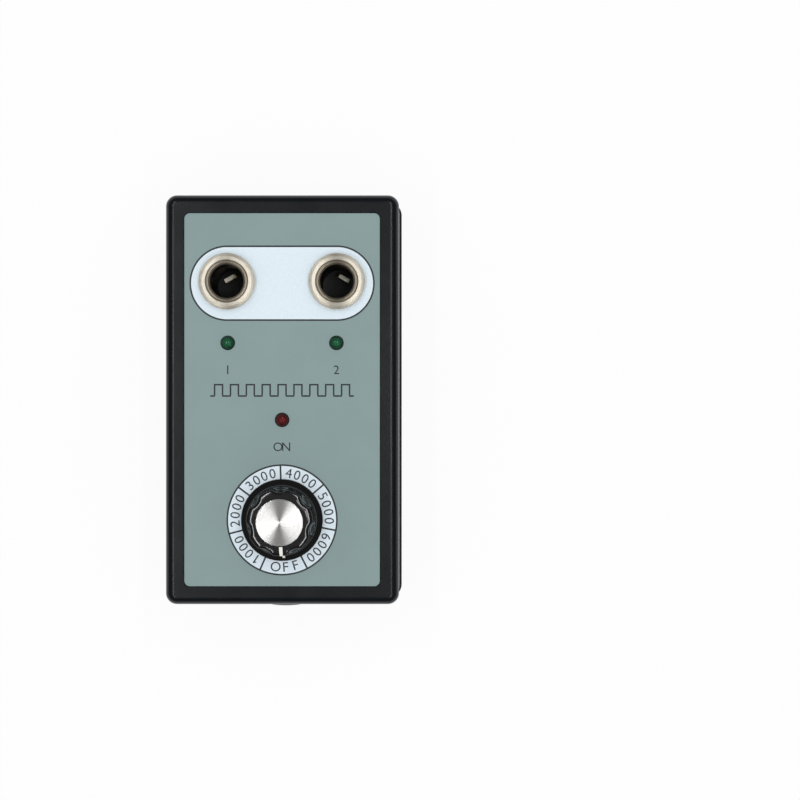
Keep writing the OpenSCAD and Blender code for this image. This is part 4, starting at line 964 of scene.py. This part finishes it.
class MakeKnob(bpy.types.Operator):
    """Fluted knob with its pointer line and its spun cap"""
    bl_idname = "tester.make_knob"
    bl_label = "Make knob"

    def execute(self, context):
        knob = context.scene.tester_knob
        self.make_body(knob)
        self.make_pointer(knob)
        self.make_cap(knob)
        inner = context.scene.tester_inner
        spot = middle("knob_cap")
        brass = context.scene.tester_socket.brass_colour
        dress("knob_insert", turned_metal("insert_brass", brass, spot))
        dress("knob_grub_screw", plated_metal("grub_steel", inner.steel_colour, 0.3))
        dress("control_shaft", turned_metal("shaft_steel", inner.steel_colour, spot, 0.25))
        return {"FINISHED"}

    def outer_section(self, knob, height):
        """Outer line of the knob from its top face down to its foot, unfluted."""
        top = knob.grip_radius - knob.grip_taper
        flat = top - knob.crown_width
        crown = [Vector((flat + knob.crown_width * math.sin(a),
                         height - knob.crown_drop * (1 - math.cos(a))))
                 for a in (math.radians(3 * k) for k in range(30))]
        corners = [Vector((knob.cap_wall, height)), *crown] + rounded([
            (top, height - knob.crown_drop, 0), (knob.grip_radius, knob.flare_height, knob.flare),
            (knob.skirt_radius, knob.skirt_rim, 0.5 * MM), (knob.skirt_radius, 0, 0)], 12)
        wall = []
        for start, end in zip(corners, corners[1:]):
            parts = max(1, round((end - start).length / WALL_STEP))
            wall += [start.lerp(end, k / parts) for k in range(parts)]
        return wall + [corners[-1]]

    def make_body(self, knob):
        node = "knob_body"
        base = low(node).z
        height = high(node).z - base - knob.top_inset
        seat = high(node).z - base - knob.cap_depth
        roof = knob.hollow_height + knob.insert_length
        outer = self.outer_section(knob, height)
        inside = rounded([
            (*outer[-2], 0), (knob.skirt_radius, 0, 0.15 * MM), (knob.hollow_radius, 0, 0.2 * MM),
            (knob.hollow_radius, knob.hollow_height, 0), (knob.insert_radius, knob.hollow_height, 0),
            (knob.insert_radius, roof, 0), (0, roof, 0), (0, seat, 0), (knob.cap_wall, seat, 0),
            (knob.cap_wall, height, 0.12 * MM), (*outer[1], 0)])[1:-1]
        bm = turned(outer[1:-1] + inside, knob.flute_count * FLUTE_STEPS)
        for vert in bm.verts:
            self.cut_flute(knob, vert, height)
        drill = bmesh.new()
        drill_length = knob.skirt_radius
        place = Matrix.Translation((0, drill_length / 2 + DRILL_START,
                                    middle("knob_grub_screw").z - base))
        bmesh.ops.create_cone(drill, cap_ends=True, segments=32, radius1=knob.grub_radius,
                              radius2=knob.grub_radius, depth=drill_length,
                              matrix=place @ Matrix.Rotation(math.pi / 2, 4, "X"))
        bm = cut_hole(bm, drill)
        gloss = glossy_plastic("knob_gloss_black", knob.body_colour, gloss=0.9)
        add_piece(moved(bm, on_axis(node, base)), "knob_grip", "knob", gloss,
                  [node], 50)

    def cut_flute(self, knob, vert, height):
        """Draws a point of the grip in to its flute; the crowned edge follows the flutes."""
        radius = math.hypot(vert.co.x, vert.co.y)
        inner = knob.cap_wall + 0.3 * MM
        in_hollow = (radius < knob.hollow_radius + 0.1 * MM
                     and vert.co.z < knob.hollow_height + MM)
        if radius <= inner or in_hollow:
            return
        share = (vert.co.z - knob.skirt_height) / (height - knob.skirt_height)
        wall = max(knob.grip_radius - knob.grip_taper * max(share, 0), radius)
        depth = wall - fluted(knob, wall, math.atan2(vert.co.y, vert.co.x), vert.co.z)
        edge = knob.grip_radius - knob.grip_taper
        depth *= min((radius - inner) / (edge - inner), 1)
        vert.co.x *= 1 - depth / radius
        vert.co.y *= 1 - depth / radius

    def make_pointer(self, knob):
        base = low("knob_body").z
        height = high("knob_body").z - base - knob.top_inset
        start = knob.cap_wall + 0.1 * MM
        line = [p for p in self.outer_section(knob, height) if start < p.x < knob.pointer_reach]
        bm = bmesh.new()
        width_drop = knob.pointer_top - knob.pointer_end
        run = len(line) - 1
        rows = []
        for i, point in enumerate(line):
            before, after = line[max(i - 1, 0)], line[min(i + 1, run)]
            along = (after - before).normalized()
            out = Vector((-along.y, along.x))
            lifted = point + out * POINTER_LIFT
            half = (knob.pointer_top - width_drop * i / run) / 2
            rows.append([bm.verts.new((side * half, -lifted.x, lifted.y)) for side in (-1, 1)])
        for first, second in zip(rows, rows[1:]):
            bm.faces.new((first[0], first[1], second[1], second[0]))
        bmesh.ops.recalc_face_normals(bm, faces=bm.faces)
        bmesh.ops.solidify(bm, geom=bm.faces[:], thickness=POINTER_THICKNESS)
        bmesh.ops.recalc_face_normals(bm, faces=bm.faces)
        white = printed_ink("pointer_white", knob.line_colour, 0.4)
        place = on_axis("knob_body", base) @ Matrix.Rotation(knob.pointer_turn, 4, "Z")
        add_piece(moved(bm, place), "knob_pointer", "knob", white)

    def make_cap(self, knob):
        node = "knob_cap"
        base, top = low(node).z, high(node).z
        edge = half_width(node)
        section = rounded([(0, base, 0), (edge, base, 0.08 * MM), (edge, top, 0.14 * MM), (0, top, 0)])
        spun = spun_cap("cap_spun_aluminium", knob.cap_colour, middle(node))
        add_turned(section, node, "knob_cap_disc", "knob", spun, 128)


def fluted(knob, radius, turn, height):
    """Radius of the grip's wall after the flutes are cut, with the edges between them softened."""
    step = math.tau / knob.flute_count
    off = (turn + math.pi / 2) % step - step / 2
    axis = knob.grip_radius - knob.flute_depth + knob.flute_radius
    drop = max(knob.skirt_height + knob.flute_radius - height, 0)
    reach = math.sqrt(max(knob.flute_radius ** 2 - drop ** 2, 0))
    across = axis * math.sin(off)
    if abs(across) >= reach:
        return radius
    wall = axis * math.cos(off) - math.sqrt(reach ** 2 - across ** 2)
    soft = knob.flute_softness
    share = min(max(0.5 + 0.5 * (wall - radius) / soft, 0), 1)
    return wall + (radius - wall) * share - soft * share * (1 - share)


class MakeInlet(bpy.types.Operator):
    """Nose and barrel of the power inlet, with its nut, pin and spring"""
    bl_idname = "tester.make_inlet"
    bl_label = "Make inlet"

    def execute(self, context):
        inlet = context.scene.tester_inlet
        node = "inlet_body"
        spot = Vector((middle(node).x, low(node).y, middle(node).z))
        rim = half_width(node)
        depth = inlet.nose - inlet.rim
        dome = [(inlet.face_radius + (rim - inlet.face_radius) * math.cos(a),
                 depth * (1 - math.sin(a)))
                for a in (math.radians(6 * k) for k in range(15))]
        floor, end = inlet.hole_depth, inlet.nose + inlet.barrel_length
        section = [tuple(p) for p in rounded([
            (inlet.face_radius, 0, 0), (inlet.hole_radius, 0, 0.35 * MM), (inlet.hole_radius, floor, 0),
            (inlet.tail_radius, floor, 0), (inlet.tail_radius, end, 0),
            (inlet.barrel_radius, end, 0.3 * MM), (inlet.barrel_radius, inlet.nose, 0),
            (rim, inlet.nose, 0)])] + dome
        place = Matrix.Translation(spot) @ Matrix.Rotation(-math.pi / 2, 4, "X")
        black = moulded_plastic("inlet_black", inlet.body_colour, 0.3 * MM, 0.36, 0.012 * MM)
        add_piece(moved(turned(section), place), "inlet_nose", "case", black, [node])
        dress("inlet_nut", black)
        inner = context.scene.tester_inner
        dress("inlet_pin", turned_metal("inlet_pin_steel", inner.steel_colour, middle("inlet_pin"), 0.22,
                                        turn=(math.pi / 2, 0, 0)))
        dress("inlet_spring", plated_metal("inlet_spring_brass",
                                           context.scene.tester_socket.brass_colour, 0.3))
        return {"FINISHED"}


class DressInside(bpy.types.Operator):
    """Finishes of the speed control, the circuit board and the leads"""
    bl_idname = "tester.dress_inside"
    bl_label = "Dress inside"

    def execute(self, context):
        inner = context.scene.tester_inner
        socket = context.scene.tester_socket
        axis = middle("knob_cap")
        steel = plated_metal("lug_tinned_steel", inner.steel_colour, 0.36)
        bare = turned_metal("can_aluminium", inner.aluminium_colour, axis, 0.36)
        nickel = turned_metal("bush_nickel", socket.nickel_colour, axis, 0.3)
        black = moulded_plastic("component_black", inner.potting_colour, 0.4 * MM, 0.48, 0.02 * MM)
        cream = moulded_plastic("rotor_cream", inner.cream_colour, 0.5 * MM, 0.45, 0.01 * MM)
        wafer = moulded_plastic("wafer_brown", inner.wafer_colour, 0.8 * MM, 0.5, 0.02 * MM)
        film = glossy_plastic("film_capacitor_red", inner.red_lead, 0.25)
        red = moulded_plastic("lead_red", inner.red_lead, 0.4 * MM, 0.4, 0.008 * MM)
        dark = moulded_plastic("lead_black", inner.black_lead, 0.4 * MM, 0.4, 0.008 * MM)
        yellow = moulded_plastic("lead_yellow", inner.yellow_lead, 0.4 * MM, 0.4, 0.008 * MM)
        finishes = {
            steel: ("control_lugs", "switch_lugs", "control_washer", "board_screws"),
            bare: ("control_can", "filter_capacitor"),
            nickel: ("control_bush", "control_nut"),
            black: ("control_switch", "spark_coil_left", "spark_coil_right", "drive_transistors",
                    "timer_chip"),
            cream: ("control_rotor", "resistors"),
            wafer: ("control_track",),
            laminate("board_green", inner.board_colour): ("circuit_board",),
            plated_metal("wiper_brass", socket.brass_colour, 0.3): ("control_wiper",),
            film: ("film_capacitors",),
            red: ("spark_lead_left", "spark_lead_right", "power_leads"),
            dark: ("earth_leads",),
            yellow: ("control_leads",),
        }
        for finish, nodes in finishes.items():
            for node in nodes:
                dress(node, finish)
        return {"FINISHED"}


class SetStage(bpy.types.Operator):
    """Floor, side lights, soft sky and camera"""
    bl_idname = "tester.set_stage"
    bl_label = "Set stage"

    def execute(self, context):
        stage = context.scene.tester_stage
        self.make_floor(stage)
        for side in (-1, 1):
            self.make_light("side_light", stage.key_angle * side, SIDE_LIGHT_SIZE, stage.key_power)
        self.make_light("top_light", stage.top_angle, TOP_LIGHT_SIZE, stage.top_power)
        self.make_sky(context.scene, stage)
        lens = bpy.data.cameras.new("camera")
        lens.sensor_width = SENSOR_WIDTH
        lens.lens = stage.lens
        camera = bpy.data.objects.new("camera", lens)
        camera.location = stage.camera_place
        context.scene.collection.objects.link(camera)
        context.scene.camera = camera
        context.scene.view_settings.view_transform = "Standard"
        return {"FINISHED"}

    def make_floor(self, stage):
        mesh = bpy.data.meshes.new("floor")
        bm = bmesh.new()
        bmesh.ops.create_grid(bm, x_segments=1, y_segments=1, size=FLOOR_SIZE,
                              matrix=Matrix.Translation((0, 0, -FLOOR_DROP)))
        bm.to_mesh(mesh)
        bm.free()
        floor = bpy.data.objects.new("floor", mesh)
        bpy.context.scene.collection.objects.link(floor)
        finish = Finish("floor_paper", Roughness=0.8, Specular_IOR_Level=0.1)
        paper = finish.noise(40 * MM, 3.0)
        finish.set("Base Color", finish.shades(paper, stage.floor_colour, 0.01))
        glow = finish.add("Emission", {"Color": (1.0, 1.0, 1.0), "Strength": 1.0})
        mix = finish.add("MixShader")
        share = finish.add("Math", {0: looked_at(finish.tree), 1: stage.floor_glow},
                           operation="MULTIPLY")
        finish.feed(mix.inputs[0], share.outputs[0])
        finish.feed(mix.inputs[1], finish.shader.outputs[0])
        finish.feed(mix.inputs[2], glow.outputs[0])
        finish.tree.links.new(mix.outputs[0], finish.tree.nodes["Material Output"].inputs["Surface"])
        mesh.materials.append(finish.material)

    def make_light(self, name, lean, size, power):
        data = bpy.data.lights.new(name, "AREA")
        data.shape = "RECTANGLE"
        data.size, data.size_y = size
        data.energy = power
        light = bpy.data.objects.new(name, data)
        light.location = (LIGHT_DISTANCE * math.sin(lean), 0.0, LIGHT_DISTANCE * math.cos(lean))
        light.rotation_euler = (0.0, lean, 0.0)
        bpy.context.scene.collection.objects.link(light)

    def make_sky(self, scene, stage):
        """Even soft light; gloss sees it dim half way up and white towards the horizon."""
        world = bpy.data.worlds.new("sky")
        world.use_nodes = True
        scene.world = world
        tree = world.node_tree
        plain = tree.nodes["Background"]
        plain.inputs["Color"].default_value = (1.0, 1.0, 1.0, 1.0)
        plain.inputs["Strength"].default_value = stage.sky
        coords = tree.nodes.new("ShaderNodeTexCoord")
        parts = tree.nodes.new("ShaderNodeSeparateXYZ")
        tree.links.new(coords.outputs["Generated"], parts.inputs[0])
        bands = []
        for ends, first, last in ((HORIZON_BAND, 1.0, stage.flank),
                                  (ZENITH_BAND, 0.0, stage.zenith - stage.flank)):
            band = tree.nodes.new("ShaderNodeMapRange")
            for key, value in zip(("From Min", "From Max", "To Min", "To Max"), (*ends, first, last)):
                band.inputs[key].default_value = value
            tree.links.new(parts.outputs["Z"], band.inputs["Value"])
            bands.append(band.outputs["Result"])
        both = tree.nodes.new("ShaderNodeMath")
        for socket, band in zip(both.inputs, bands):
            tree.links.new(band, socket)
        shown = tree.nodes.new("ShaderNodeBackground")
        tree.links.new(both.outputs[0], shown.inputs["Strength"])
        mix = tree.nodes.new("ShaderNodeMixShader")
        tree.links.new(looked_at(tree), mix.inputs[0])
        tree.links.new(plain.outputs[0], mix.inputs[1])
        tree.links.new(shown.outputs[0], mix.inputs[2])
        tree.links.new(mix.outputs[0], tree.nodes["World Output"].inputs["Surface"])


STEPS = (MakeCase, MakePanel, MakeMarks, MakeSockets, MakeLamps, MakeKnob, MakeInlet, DressInside,
         SetStage)


class TesterPanel(bpy.types.Panel):
    """Lists the steps and their settings"""
    bl_idname = "VIEW3D_PT_tester"
    bl_label = "Tester"
    bl_space_type = "VIEW_3D"
    bl_region_type = "UI"
    bl_category = "Tester"

    def draw(self, context):
        for step in STEPS:
            self.layout.operator(step.bl_idname)
        for name, group in SETTINGS.items():
            box = self.layout.box()
            box.label(text=group.bl_rna.description)
            for key in group.__annotations__:
                box.prop(getattr(context.scene, name), key)


CLASSES = (*SETTINGS.values(), *STEPS, TesterPanel)


def register():
    for item in CLASSES:
        bpy.utils.register_class(item)
    for name, group in SETTINGS.items():
        setattr(bpy.types.Scene, name, PointerProperty(type=group))


def unregister():
    for name in SETTINGS:
        delattr(bpy.types.Scene, name)
    for item in reversed(CLASSES):
        bpy.utils.unregister_class(item)


def main():
    register()
    for step in STEPS:
        group, action = step.bl_idname.split(".")
        getattr(getattr(bpy.ops, group), action)()


if __name__ == "__main__":
    main()
